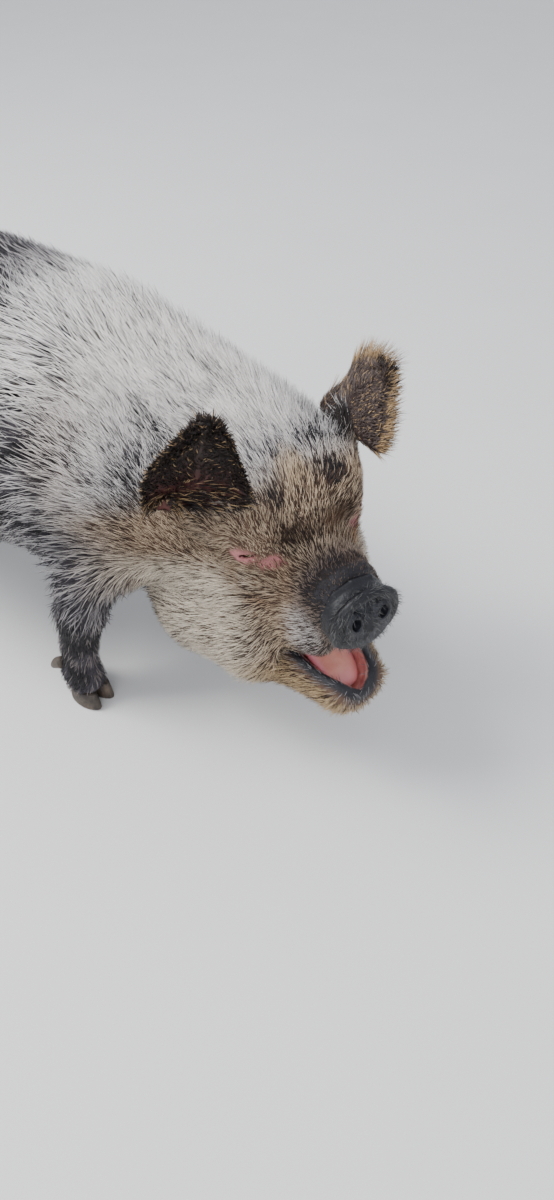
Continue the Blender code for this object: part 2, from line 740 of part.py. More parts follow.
finished(body, "torso", COAT)
finished(neck_piece, "neck", COAT)
finished(head_piece, "head", FACE)
finished(jaw_piece, "lower_jaw", FACE)
finished(disc, "snout", BARE)
finished(made_tongue, "tongue", PINK)
finished(made_tail, "tail", COAT)
for name, piece in legs.items():
    finished(piece, name, COAT)
for name, piece in dewclaws.items():
    finished(piece, name, HORN)
for name, side in (("left", 1), ("right", -1)):
    finished(ears[name], "ear_" + name, DARK)
    x, y, z = EYE_AT
    eyeball = ball((side * x, y, z), (EYE_RADIUS,) * 3, HEAD, segments=14, rings=8)
    finished(joined("eye", [eyeball]), "eye_" + name, WET)

# The origin is the middle of the animal's box, on the floor.
corners = np.array([obj.matrix_world @ Vector(corner) for obj in bpy.data.objects for corner in obj.bound_box])
middle = (corners.min(axis=0) + corners.max(axis=0)) / 2
for obj in bpy.data.objects:
    obj.matrix_world = Matrix.Translation((-middle[0], -middle[1], 0.0)) @ obj.matrix_world
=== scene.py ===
"""The looks of a life-size kunekune pig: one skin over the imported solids, its eyes, snout disc, tongue,
hoofs and ears, and the whole coat as thin solid tufts. Lengths are in metres, in the part's own frame:
+X to the animal's left, +Y to its tail, +Z up, floor at zero."""

import math

import bpy
import numpy as np
from mathutils import Matrix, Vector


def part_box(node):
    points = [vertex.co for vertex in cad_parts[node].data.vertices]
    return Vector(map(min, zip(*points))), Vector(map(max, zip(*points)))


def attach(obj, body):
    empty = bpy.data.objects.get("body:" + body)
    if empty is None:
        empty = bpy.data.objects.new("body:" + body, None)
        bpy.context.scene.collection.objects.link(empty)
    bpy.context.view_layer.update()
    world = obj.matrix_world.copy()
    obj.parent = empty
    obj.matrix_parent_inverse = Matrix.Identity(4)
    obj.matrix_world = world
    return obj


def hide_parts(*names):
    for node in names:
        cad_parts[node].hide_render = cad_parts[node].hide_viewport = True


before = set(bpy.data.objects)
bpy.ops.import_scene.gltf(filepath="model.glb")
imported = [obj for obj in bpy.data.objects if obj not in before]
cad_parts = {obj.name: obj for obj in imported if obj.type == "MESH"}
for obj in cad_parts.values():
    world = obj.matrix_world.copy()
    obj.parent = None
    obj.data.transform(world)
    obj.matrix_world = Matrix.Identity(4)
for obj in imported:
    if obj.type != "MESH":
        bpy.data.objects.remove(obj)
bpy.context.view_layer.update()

# The pose and the main sizes of the flesh, before the whole is centred on the floor.
HEAD_AT = (0.031, -0.489, 0.330)
HEAD_TURN_DEG = -22.0
HEAD_PITCH_DEG = -10.0
HEAD_ROLL_DEG = -3.0
JAW_HINGE = (0.0, 0.030, -0.100)
JAW_OPEN_DEG = 22.0
BACK_HEIGHT = 0.600
TRUNK_HALF_WIDTH = 0.234
FORE_FOOT = (0.147, -0.250)
HIND_FOOT = (0.132, 0.372)
CLAW_AHEAD = 0.012
CLAW_OUT = 0.0143
HOOF_TOP = 0.034
EYE_AT = (0.0745, -0.087, 0.058)
EYE_RADIUS = 0.0125
EAR_ROOT = (0.086, -0.045, 0.092)

# The camera: where it stood, how far it looked down, and its lens, all fitted to the photo.
CAMERA_AT = (-0.686, -1.003, 1.085)
CAMERA_DOWN_DEG = 45.0
CAMERA_HEADING_DEG = -54.96
CAMERA_LENS_MM = 25.59
SENSOR_MM = 36.0

# Mesh spacing of the skin: on the body, and as a share of it towards the snout.
BODY_SPACING = 0.0068
FACE_SHARE = 0.42

SEED = 20


def turn(yaw=0.0, pitch=0.0, roll=0.0):
    """Matrix whose columns are the turned axes: yaw about z, then pitch about x, then roll about y, in
    degrees."""
    a, b, c = np.radians([yaw, pitch, roll])
    about_z = np.array([[np.cos(a), -np.sin(a), 0], [np.sin(a), np.cos(a), 0], [0, 0, 1]])
    about_x = np.array([[1, 0, 0], [0, np.cos(b), -np.sin(b)], [0, np.sin(b), np.cos(b)]])
    about_y = np.array([[np.cos(c), 0, np.sin(c)], [0, 1, 0], [-np.sin(c), 0, np.cos(c)]])
    return about_z @ about_x @ about_y


def centring():
    """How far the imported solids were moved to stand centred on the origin, read from the fore hoofs."""
    middles = []
    for side in ("left", "right"):
        for place in ("outer", "inner"):
            low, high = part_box("hoof_front_" + side + "_" + place)
            middles.append([(low[i] + high[i]) / 2 for i in range(3)])
    x, y, _ = np.mean(middles, axis=0)
    return np.array([x, y - (FORE_FOOT[1] - CLAW_AHEAD), 0.0])


MOVED = centring()
HEAD_TURN = turn(HEAD_TURN_DEG, HEAD_PITCH_DEG, HEAD_ROLL_DEG)
JAW_TURN = turn(pitch=JAW_OPEN_DEG)


def to_head(points):
    """Points of the body's frame in the head's own frame: -y to the snout, +z to the crown."""
    return (points - np.float32(HEAD_AT)) @ np.float32(HEAD_TURN)


def from_head(points):
    """Points of the head's own frame in the body's frame."""
    return np.asarray(points, float) @ HEAD_TURN.T + np.array(HEAD_AT)


def to_jaw(points):
    """Points of the head's frame in the lower jaw's own frame, which is turned about its hinge."""
    return (points - np.float32(JAW_HINGE)) @ np.float32(JAW_TURN)


def from_jaw(points):
    """Points of the jaw's own frame in the body's frame."""
    return from_head(np.asarray(points, float) @ JAW_TURN.T + np.array(JAW_HINGE))


def ellipsoid(p, centre, radii, turned=None):
    """Distance to an ellipsoid: |q/r| (|q/r| - 1) / |q/r2|, with q the point seen from the centre."""
    q = p - np.float32(centre)
    if turned is not None:
        q = q @ np.float32(turned)
    r = np.float32(radii)
    near = np.linalg.norm(q / r, axis=1)
    return near * (near - 1.0) / np.maximum(np.linalg.norm(q / (r * r), axis=1), 1e-6)


def cone(p, a, b, ra, rb):
    """Distance to a round cone: to the nearest point of the line from a to b, less the radius there."""
    a, b = np.float32(a), np.float32(b)
    along = b - a
    t = np.clip(((p - a) @ along) / (along @ along), 0.0, 1.0)
    return np.linalg.norm(p - a - t[:, None] * along, axis=1) - (ra + (rb - ra) * t)


def melt(a, b, soft):
    """The nearer of two distances, rounded off where they are within soft of each other."""
    near = np.maximum(soft - np.abs(a - b), 0.0) / soft
    return np.minimum(a, b) - near * near * soft * 0.25


def carve(a, b, soft):
    """The first form with the second taken out, its edge rounded off by soft."""
    return -melt(-a, b, soft)


def chain(p, points, radii, soft=0.0):
    """Round cones from point to point, melted together."""
    found = cone(p, points[0], points[1], radii[0], radii[1])
    for k in range(1, len(points) - 1):
        piece = cone(p, points[k], points[k + 1], radii[k], radii[k + 1])
        found = melt(found, piece, soft) if soft else np.minimum(found, piece)
    return found


def both_sides(p):
    """Points folded onto the left side, so that one form serves for two."""
    return np.abs(p * np.float32([1, 0, 0])) + p * np.float32([0, 1, 1])


def ease(low, high, value):
    """0 below low and 1 above high, with a smooth step between; low may be the larger."""
    t = np.clip((value - low) / (high - low), 0.0, 1.0)
    return t * t * (3.0 - 2.0 * t)


def lattice(cell, seed):
    """A number from 0 to 1 for each whole-numbered cell, by mixing its three indices."""
    h = cell[:, 0] * 374761393 + cell[:, 1] * 668265263 + cell[:, 2] * 2147483647 + seed * 1274126177
    h = (h ^ (h >> 13)) * 1274126177
    return ((h ^ (h >> 16)) & 0xFFFFFF) / float(0xFFFFFF)


def mottle(p, size, seed):
    """Smooth noise from 0 to 1: lattice numbers blended across cells of the given size."""
    q = np.asarray(p, float) / size
    base = np.floor(q).astype(np.int64)
    t = q - base
    t = t * t * (3.0 - 2.0 * t)
    total = np.zeros(len(q))
    for dx in (0, 1):
        for dy in (0, 1):
            for dz in (0, 1):
                share = (t[:, 0] if dx else 1 - t[:, 0]) * (t[:, 1] if dy else 1 - t[:, 1])
                share = share * (t[:, 2] if dz else 1 - t[:, 2])
                total += share * lattice(base + np.array([dx, dy, dz]), seed)
    return total


def trunk(p):
    """Barrel, broad back, rump, loin, shoulders and hams."""
    width, q = TRUNK_HALF_WIDTH, both_sides(p)
    d = ellipsoid(p, (0, 0.375, 0.408), (0.85 * width, 0.205, BACK_HEIGHT - 0.408))
    d = melt(d, ellipsoid(p, (0, 0.090, 0.376), (width, 0.350, BACK_HEIGHT - 0.376)), 0.04)
    d = melt(d, ellipsoid(p, (0, -0.173, 0.407), (0.79 * width, 0.235, BACK_HEIGHT - 0.407)), 0.04)
    d = melt(d, ellipsoid(q, (0.085, 0.000, 0.453), (0.114, 0.330, 0.135)), 0.04)
    d = melt(d, ellipsoid(p, (0, 0.255, 0.396), (0.90 * width, 0.220, BACK_HEIGHT - 0.396)), 0.03)
    d = melt(d, ellipsoid(p, (0, 0.470, 0.430), (0.130, 0.128, 0.130)), 0.05)
    d = melt(d, ellipsoid(q, (0.086, -0.260, 0.324), (0.060, 0.114, 0.127)), 0.03)
    return melt(d, ellipsoid(q, (0.110, 0.350, 0.313), (0.103, 0.150, 0.168)), 0.045)


NECK_BACK = np.array([0.0, -0.20, 0.402])
NECK_FRONT = from_head((0.0, 0.060, 0.010))
CREST_FRONT = from_head((0.0, 0.040, 0.094))


def neck(p):
    """The neck from the shoulders to behind the ears, with its high crest."""
    middle = (NECK_BACK + NECK_FRONT) / 2 + np.array([0.0, 0.0, 0.032])
    d = chain(p, [NECK_BACK, middle, NECK_FRONT], [0.180, 0.146, 0.142], 0.04)
    return melt(d, cone(p, (0.0, -0.26, 0.483), CREST_FRONT, 0.118, 0.102), 0.04)


def legs(p):
    """The four legs, from inside the trunk to the coronets."""
    q = both_sides(p)
    x, y = FORE_FOOT
    fore = chain(
        q,
        [(x - 0.024, y - 0.030, 0.270), (x - 0.013, y - 0.015, 0.190), (x - 0.005, y - 0.002, 0.115),
         (x, y + 0.002, 0.060), (x, y - 0.006, 0.036)],
        [0.050, 0.040, 0.027, 0.028, 0.032], 0.015,
    )
    x, y = HIND_FOOT
    hind = chain(
        q,
        [(x - 0.012, y - 0.045, 0.280), (x, y - 0.050, 0.200), (x, y + 0.030, 0.140), (x, y + 0.016, 0.064),
         (x, y - 0.002, 0.036)],
        [0.110, 0.080, 0.040, 0.030, 0.032], 0.02,
    )
    return np.minimum(fore, hind)


def skull(h):
    """Cranium, cheeks, jowls and the root of the muzzle, in the head's frame."""
    q = both_sides(h)
    d = ellipsoid(h, (0, -0.015, 0.060), (0.101, 0.112, 0.101))
    d = melt(d, ellipsoid(h, (0, -0.070, 0.020), (0.068, 0.066, 0.074)), 0.03)
    d = melt(d, ellipsoid(q, (0.062, -0.058, 0.098), (0.042, 0.060, 0.052)), 0.03)
    d = melt(d, ellipsoid(q, (0.058, -0.015, -0.045), (0.054, 0.092, 0.084)), 0.03)
    d = melt(d, ellipsoid(q, (0.091, 0.060, -0.093), (0.072, 0.107, 0.077)), 0.03)
    d = melt(d, ellipsoid(q, (0.060, -0.034, -0.125), (0.063, 0.063, 0.063)), 0.03)
    return melt(d, cone(h, (0, -0.050, -0.010), (0, -0.160, -0.018), 0.074, 0.052), 0.03)


def muzzle(h):
    """The muzzle with its upper lips, brows and folds, in the head's frame."""
    q = both_sides(h)
    d = cone(h, (0, -0.080, -0.012), (0, -0.190, -0.020), 0.060, 0.046)
    d = melt(d, ellipsoid(q, (0.036, -0.112, -0.068), (0.033, 0.068, 0.037)), 0.012)
    bridge = [(0.0, -0.176, 0.032), (0.028, -0.172, 0.025), (0.047, -0.162, 0.002)]
    d = melt(d, chain(q, bridge, [0.010, 0.009, 0.004], 0.004), 0.010)
    second = [(0.0, -0.152, 0.038), (0.030, -0.150, 0.030), (0.050, -0.142, 0.004)]
    d = melt(d, chain(q, second, [0.008, 0.007, 0.003], 0.004), 0.012)
    d = melt(d, ellipsoid(q, (0.049, -0.066, 0.060), (0.045, 0.050, 0.044)), 0.016)
    return d


def brow(h):
    """The overhanging brow fold, the fold under the eye and the pleats at its corners, in the head's
    frame."""
    q = both_sides(h)
    fold = chain(q, [(0.026, -0.118, 0.072), (0.058, -0.112, 0.082), (0.084, -0.082, 0.080),
                     (0.094, -0.052, 0.068)],
                 [0.006, 0.0105, 0.0100, 0.005], 0.006)
    under = chain(q, [(0.046, -0.114, 0.034), (0.070, -0.102, 0.032), (0.086, -0.076, 0.036),
                      (0.092, -0.052, 0.044)],
                  [0.003, 0.0062, 0.0060, 0.003], 0.004)
    return melt(fold, under, 0.004)


def lids(h):
    """A round lid over each eye, in the head's frame."""
    return ellipsoid(both_sides(h), EYE_AT, (0.0165, 0.0165, 0.0160))


def eye_gap(h):
    """The narrow gap between the lids, with the socket behind it, in the head's frame."""
    q = both_sides(h)
    x, y, z = EYE_AT
    slit = ellipsoid(q, (x + 0.011, y - 0.010, z - 0.001), (0.0125, 0.0160, 0.0021), turn(yaw=48, roll=10))
    return np.minimum(slit, ellipsoid(q, EYE_AT, (EYE_RADIUS + 0.0004,) * 3))


def jaw(j):
    """The lower jaw in its own frame: two sides, the floor between them and the chin."""
    q = both_sides(j)
    d = chain(q, [(0.060, -0.020, -0.010), (0.042, -0.110, -0.014), (0.021, -0.198, 0.012)],
              [0.048, 0.035, 0.028],
              0.01)
    d = melt(d, ellipsoid(j, (0, -0.095, -0.030), (0.050, 0.115, 0.036)), 0.015)
    return melt(d, ellipsoid(j, (0, -0.198, -0.002), (0.040, 0.034, 0.034)), 0.015)


def mouth(h, j):
    """The hollow of the mouth: a trough in the lower jaw and the arch of the palate."""
    trough = ellipsoid(j, (0, -0.122, 0.022), (0.034, 0.094, 0.036))
    palate = ellipsoid(h, (0, -0.105, -0.118), (0.033, 0.085, 0.036), turn(pitch=10))
    return melt(trough, palate, 0.012)


def slot(h):
    """The open space between the lips, in the head's frame."""
    return ellipsoid(h, (0, -0.128, -0.128), (0.075, 0.080, 0.030), turn(pitch=11))


def ear_roots(h):
    """The short fleshy roots that carry the two ears, in the head's frame."""
    left = cone(h, EAR_ROOT, (0.109, -0.044, 0.138), 0.032, 0.018)
    right = cone(h * np.float32([-1, 1, 1]), EAR_ROOT, (0.088, -0.042, 0.140), 0.032, 0.016)
    return np.minimum(left, right)


def head(h):
    """The whole head without its ears and snout disc, in its own frame."""
    j = to_jaw(h)
    upper = melt(skull(h), muzzle(h), 0.016)
    upper = melt(upper, brow(h), 0.010)
    upper = melt(upper, ear_roots(h), 0.014)
    upper = carve(upper, slot(h), 0.010)
    cut = np.maximum(-0.190 - h[:, 1], np.abs(h[:, 2]) - 0.085)
    upper = carve(upper, np.where(h[:, 1] < -0.12, -cut, 1.0), 0.003)
    d = melt(upper, jaw(j), 0.010)
    d = carve(d, mouth(h, j), 0.008)
    d = melt(d, lids(h), 0.004)
    return carve(d, eye_gap(h), 0.0015)


def flesh(p):
    """Distance to the whole flesh of the animal, in the body's frame."""
    p = np.asarray(p, np.float32)
    d = melt(trunk(p), neck(p), 0.04)
    d = melt(d, legs(p), 0.03)
    h = to_head(p)
    near = np.linalg.norm(h, axis=1) < 0.42
    found = np.full(len(p), 1.0, np.float32)
    found[near] = head(h[near])
    return melt(d, found, 0.03)


def stretch(y):
    """Size of a grid cell at y, as a share of its size on the body: it shrinks from the neck to the
    snout."""
    first = ease(-0.30, -0.46, y)
    second = ease(-0.46, -0.60, y)
    return 1.0 - (1.0 - 0.58) * first - (0.58 - FACE_SHARE) * second


def stretched_grid(spacing):
    """Places of the grid: y runs in steps of the local cell, x and z spread by it about a bent middle line.
    Returns the y of each row and a function from grid numbers to points."""
    rows = [-0.730]
    while rows[-1] < 0.600:
        rows.append(rows[-1] + spacing * float(stretch(np.float64(rows[-1]))))
    rows = np.array(rows)

    def place(index):
        """Points of the body's frame for grid numbers, which may lie between rows."""
        y = np.interp(index[:, 1], np.arange(len(rows)), rows)
        scale = stretch(y) * spacing
        x = 0.045 * ease(-0.40, -0.62, y) * -1.0 + scale * index[:, 0]
        z = 0.318 - 0.020 * ease(-0.40, -0.60, y) + scale * index[:, 2]
        return np.stack([x, y, z], 1)

    return rows, place


def skin_surface(field, spacing):
    """The surface where a field is nought: one point for each grid cell that the surface crosses, at the
    middle of its crossings, and one face round each grid edge that it crosses. Returns points and
    four-sided faces."""
    rows, place = stretched_grid(spacing)
    across, up, band = 50, 66, 4
    counts = np.array([2 * across // band + 1, math.ceil(len(rows) / band), 2 * up // band + 1])
    start = np.array([-across, 0, -up])
    coarse = np.stack(np.meshgrid(*[np.arange(n) for n in counts], indexing="ij"), -1)
    coarse = coarse.reshape(-1, 3) * band + start
    value = field(place(coarse)).reshape(counts)
    cell = spacing * band * stretch(place(coarse)[:, 1]).reshape(counts)
    near = np.argwhere((np.abs(value) < 2.2 * cell)[:-1, :-1, :-1])
    shape = (counts - 1) * band + 1
    grid = np.ones(shape, np.float32)
    signs = np.sign(value[:-1, :-1, :-1])
    grid[:-1, :-1, :-1] = signs.repeat(band, 0).repeat(band, 1).repeat(band, 2)
    inside = np.stack(np.meshgrid(*[np.arange(band)] * 3, indexing="ij"), -1).reshape(-1, 3)
    fine = (near[:, None, :] * band + inside[None]).reshape(-1, 3)
    for first in range(0, len(fine), 400000):
        part = fine[first:first + 400000]
        grid[tuple(part.T)] = field(place(part + start))
    points, faces = crossings(grid)
    return place(points + start), faces


def crossings(grid):
    """Points and faces of the surface through a grid of values, in grid numbers."""
    inside = grid < 0
    n = np.array(grid.shape) - 1
    corners = [(i, j, k) for i in (0, 1) for j in (0, 1) for k in (0, 1)]
    count = sum(inside[i:i + n[0], j:j + n[1], k:k + n[2]].astype(np.int8) for i, j, k in corners)
    cells = np.argwhere((count > 0) & (count < 8))
    number = np.full(n, -1, np.int64)
    number[tuple(cells.T)] = np.arange(len(cells))
    total, hits = np.zeros((len(cells), 3)), np.zeros(len(cells))
    for a in corners:
        here = grid[tuple((cells + a).T)]
        for axis in range(3):
            if a[axis]:
                continue
            b = np.array(a)
            b[axis] = 1
            there = grid[tuple((cells + b).T)]
            crossed = (here < 0) != (there < 0)
            share = np.where(crossed, here / np.where(crossed, here - there, 1.0), 0.0)
            spot = np.tile(np.array(a, float), (len(cells), 1))
            spot[:, axis] += share
            total += spot * crossed[:, None]
            hits += crossed
    points = cells + total / hits[:, None]
    faces = []
    for axis, (u, v) in enumerate(((1, 2), (2, 0), (0, 1))):
        ahead, behind = [slice(None)] * 3, [slice(None)] * 3
        behind[axis], ahead[axis] = slice(0, -1), slice(1, None)
        first, second = inside[tuple(behind)], inside[tuple(ahead)]
        for crossed, turned in ((first & ~second, False), (~first & second, True)):
            edge = np.argwhere(crossed)
            edge = edge[(edge[:, u] > 0) & (edge[:, v] > 0) & (edge[:, u] < n[u]) & (edge[:, v] < n[v])]
            ring = []
            for du, dv in ((-1, -1), (0, -1), (0, 0), (-1, 0)):
                spot = edge.copy()
                spot[:, u] += du
                spot[:, v] += dv
                ring.append(number[tuple(spot.T)])
            ring = np.stack(ring, 1)
            faces.append(ring[:, ::-1] if turned else ring)
    return points, np.concatenate(faces)


def slope(field, p, step=0.0015):
    """Unit direction in which a field grows fastest, by differences either way along each axis."""
    found = np.empty((len(p), 3))
    for axis in range(3):
        ahead = np.zeros(3)
        ahead[axis] = step
        found[:, axis] = field(p + ahead) - field(p - ahead)
    return found / np.maximum(np.linalg.norm(found, axis=1, keepdims=True), 1e-9)


def settled_on(field, p, rounds=2):
    """Points moved along the field's slope until the field is nought there, with that slope."""
    for _ in range(rounds):
        normal = slope(field, p)
        p = p - normal * np.clip(field(p), -0.004, 0.004)[:, None]
    return p, slope(field, p)


def mesh_object(name, points, faces, smooth=True):
    """A mesh object from an array of points and arrays of three- or four-sided faces."""
    mesh = bpy.data.meshes.new(name)
    groups = [faces] if isinstance(faces, np.ndarray) else faces
    groups = [group for group in groups if len(group)]
    corners = np.concatenate([group.reshape(-1) for group in groups]).astype(np.int32)
    sides = np.concatenate([np.full(len(group), group.shape[1], np.int32) for group in groups])
    mesh.vertices.add(len(points))
    mesh.vertices.foreach_set("co", np.asarray(points, np.float32).reshape(-1))
    mesh.loops.add(len(corners))
    mesh.loops.foreach_set("vertex_index", corners)
    mesh.polygons.add(len(sides))
    mesh.polygons.foreach_set("loop_start", np.concatenate([[0], np.cumsum(sides)[:-1]]).astype(np.int32))
    mesh.polygons.foreach_set("use_smooth", np.full(len(sides), smooth))
    mesh.update(calc_edges=True)
    made = bpy.data.objects.new(name, mesh)
    bpy.context.scene.collection.objects.link(made)
    return made


def add_number(obj, name, values):
    """A number for each point of a piece, for its material to read."""
    layer = obj.data.attributes.new(name, "FLOAT", "POINT")
    layer.data.foreach_set("value", np.asarray(values, np.float32))


def add_colour(obj, name, values):
    """A colour for each point of a piece, for its material to read."""
    layer = obj.data.attributes.new(name, "FLOAT_COLOR", "POINT")
    full = np.ones((len(values), 4), np.float32)
    full[:, :3] = values
    layer.data.foreach_set("color", full.reshape(-1))


def tone(red, green, blue):
    """A colour as it looks on a screen, from 0 to 255, as the even-stepped light that shaders count in."""
    c = np.array([red, green, blue]) / 255.0
    return np.where(c <= 0.04045, c / 12.92, ((c + 0.055) / 1.055) ** 2.4)


def blend(a, b, share):
    """One colour changed into another by a share for each point."""
    return a + (b - a) * share[:, None]


def spot(p, centre, reach):
    """1 at a place and nought beyond its reach, in each direction its own."""
    return ease(1.0, 0.35, np.linalg.norm((p - np.array(centre)) / np.array(reach), axis=1))


GREY, WHITE, SLATE = tone(160, 156, 158), tone(236, 232, 228), tone(58, 55, 62)
FAWN, BLACK, TAN = tone(184, 160, 134), tone(34, 32, 36), tone(196, 160, 118)
CREAM, BROWN, UMBER = tone(232, 220, 200), tone(104, 78, 58), tone(50, 38, 32)
GINGER, BLOND, MUSHROOM = tone(190, 136, 84), tone(204, 174, 130), tone(134, 118, 112)
HIDE_GREY, HIDE_PINK, HIDE_DARK = tone(74, 70, 76), tone(186, 122, 120), tone(44, 40, 44)
HIDE_TAN = tone(104, 80, 64)


def zones(p, n):
    """How much each point belongs to the parts of the animal that differ in coat: a dictionary of
    shares."""
    h = to_head(p)
    j = to_jaw(h)
    x, y, z = np.abs(h[:, 0]), h[:, 1], h[:, 2]
    folded = np.stack([x, y, z], 1)
    on_head = ease(0.12, 0.03, y)
    found = {"head": on_head}
    # The crest is partly a real pale mane and partly painted light: its upward-facing top is marked for
    # whitening where light falls on it.
    upward = ease(0.45, 0.95, n[:, 2] + 0.2 * x)
    found["crest"] = upward * ease(-0.06, -0.28, p[:, 1]) * ease(-0.080, -0.020, y)
    found["shoulder"] = ease(0.08, -0.20, p[:, 1]) * (1 - on_head) * ease(0.24, 0.40, p[:, 2])
    found["leg"] = ease(0.24, 0.15, p[:, 2]) * (1 - on_head)
    found["belly"] = ease(-0.2, -0.7, n[:, 2]) * (1 - on_head) * ease(0.12, 0.16, p[:, 2])
    found["jowl"] = on_head * ease(0.040, -0.010, z) * ease(-0.105, -0.065, y)
    found["muzzle"] = ease(-0.125, -0.160, y) * ease(-0.13, -0.10, z)
    found["pale_lip"] = spot(folded, (0.050, -0.152, -0.045), (0.030, 0.040, 0.045))
    found["chin"] = on_head * ease(-0.105, -0.135, z) * ease(-0.05, -0.11, y)
    found["forehead"] = on_head * ease(0.085, 0.130, z + 0.25 * y)
    found["blond"] = spot(folded, (0.004, -0.092, 0.130), (0.024, 0.030, 0.026))
    found["brow"] = spot(folded, (0.030, -0.128, 0.066), (0.046, 0.030, 0.022))
    found["dark_spot"] = spot(folded, (0.042, -0.104, 0.114), (0.026, 0.028, 0.022))
    found["eye"] = spot(folded, (0.078, -0.098, 0.056), (0.040, 0.042, 0.026))
    found["cheek"] = spot(folded, (0.068, -0.104, 0.012), (0.048, 0.060, 0.046))
    found["bald"] = ease(-0.150, -0.166, y) * ease(-0.004, 0.016, z)
    found["rim"] = lower_lip(h, j)
    found["ear_root"] = spot(folded, (0.096, -0.048, 0.136), (0.026, 0.030, 0.032))
    return found


def lower_lip(h, j):
    """Share of the bare band of the lower lip, which runs round the trough of the jaw."""
    beside = ease(0.018, 0.011, mouth(h, j)) * ease(-0.070, -0.115, j[:, 1])
    return beside * ease(-0.010, 0.006, j[:, 2]) * ease(0.055, 0.045, j[:, 2])


def bare(p):
    """Shares of bare skin: the lips' dark rims, the pink inside of the mouth, and the pink folds of the
    eye."""
    h = to_head(p)
    j = to_jaw(h)
    hollow = ease(0.0030, 0.0004, mouth(h, j)) * ease(-0.010, -0.040, h[:, 1])
    high = ease(0.009, 0.004, np.abs(slot(h))) * ease(-0.100, -0.130, h[:, 1]) * ease(-0.128, -0.116, h[:, 2])
    smooth = 0.75 * ease(-0.158, -0.172, h[:, 1]) * ease(-0.002, 0.014, h[:, 2])
    lips = np.clip(lower_lip(h, j) + 0.85 * high + smooth, 0, 1) * (1 - hollow)
    q = np.stack([np.abs(h[:, 0]), h[:, 1], h[:, 2]], 1)
    pink = spot(q, (0.090, -0.090, 0.054), (0.024, 0.030, 0.018))
    pink = pink + spot(q, (0.062, -0.115, 0.042), (0.024, 0.024, 0.016))
    return {"mouth": hollow, "lips": lips, "pink": np.clip(pink, 0, 1)}


def coat_colours(p, n):
    """The markings, with painted light that whitens the upward-facing top of the crest: the colour of the
    pale hairs, that of the dark hairs, the share of dark hairs, and the hide."""
    z = zones(p, n)
    large, small, fine = mottle(p, 0.110, 3), mottle(p, 0.034, 4), mottle(p, 0.0075, 5)
    streak = mottle(p, 0.050, 6)
    count = len(p)
    light = np.tile(GREY, (count, 1))
    light = blend(light, FAWN, 0.50 * ease(0.45, 0.70, large) * ease(-0.05, 0.12, p[:, 1]))
    # Painted light: the upward-facing crest is whitened here.
    light = blend(light, WHITE, np.clip(0.30 * z["shoulder"] + z["crest"], 0, 1))
    light = blend(light, MUSHROOM, 0.60 * z["leg"])
    dark = np.tile(SLATE, (count, 1))
    dark = blend(dark, BLACK, ease(0.45, 0.70, small))
    share = 0.58 + 0.60 * (small - 0.5) + 0.50 * (large - 0.5) + 0.90 * (fine - 0.5)
    # Painted light: fewer dark hairs on the upward-facing crest.
    share = share - 0.50 * z["crest"] - 0.06 * z["shoulder"] + 0.14 * z["leg"]
    elbow = spot(np.stack([np.abs(p[:, 0]), p[:, 1], p[:, 2]], 1), (0.175, -0.220, 0.270),
                 (0.05, 0.045, 0.040))
    share = share + 0.5 * elbow
    head = z["head"]
    on_head = 0.30 + 0.28 * (small - 0.5) + 0.40 * (fine - 0.5)
    tan_share = head * (1 - 0.85 * z["crest"]) * (1 - z["forehead"])
    light = blend(light, 0.55 * TAN + 0.45 * CREAM, tan_share)
    light = blend(light, CREAM, z["jowl"] * ease(0.10, 0.35, large + 0.2))
    light = blend(light, GINGER, np.clip(0.8 * z["cheek"] * ease(0.25, 0.50, streak), 0, 1))
    light = blend(light, WHITE, 0.70 * z["forehead"])
    light = blend(light, BLOND, 0.6 * z["blond"])
    light = blend(light, MUSHROOM, 0.80 * z["muzzle"])
    light = blend(light, WHITE, 0.70 * z["pale_lip"])
    light = blend(light, BLOND, 0.80 * z["chin"])
    light = blend(light, BROWN, np.clip(0.65 * z["brow"] + 0.55 * z["bald"], 0, 1))
    light = blend(light, GREY, z["rim"])
    dark = blend(dark, blend(np.tile(BROWN, (count, 1)), UMBER, 0.8 * ease(0.35, 0.65, small)), tan_share)
    share = blend_number(share, on_head, tan_share)
    share = share - 0.16 * z["jowl"] + 0.38 * z["brow"] + 0.55 * z["dark_spot"] + 0.18 * z["muzzle"]
    share = share - 0.12 * z["chin"] - 0.20 * z["blond"] - 0.24 * z["forehead"]
    share = share + 0.30 * z["bald"] + 0.10 * z["cheek"]
    share = share + 0.9 * z["ear_root"]
    dark = blend(dark, BLACK, np.clip(z["dark_spot"] + 0.6 * z["muzzle"] + z["rim"], 0, 1))
    dark = blend(dark, 0.5 * UMBER + 0.5 * BLACK, z["ear_root"])
    hide = np.tile(HIDE_GREY, (count, 1))
    hide = blend(hide, HIDE_DARK, ease(0.42, 0.62, small + 0.4 * (large - 0.5)))
    hide = blend(hide, HIDE_TAN, head * (1 - 0.6 * z["muzzle"]))
    # A paler hide under the forehead's marking and, as painted light, under the upward-facing crest.
    hide = blend(hide, tone(150, 140, 134), 0.7 * np.clip(z["crest"] + z["forehead"], 0, 1))
    hide = blend(hide, HIDE_DARK, np.clip(z["brow"] + z["muzzle"] + z["bald"], 0, 1))
    return light, dark, np.clip(share, 0.03, 0.97), hide


def blend_number(a, b, share):
    """One number changed into another by a share."""
    return a + (b - a) * share


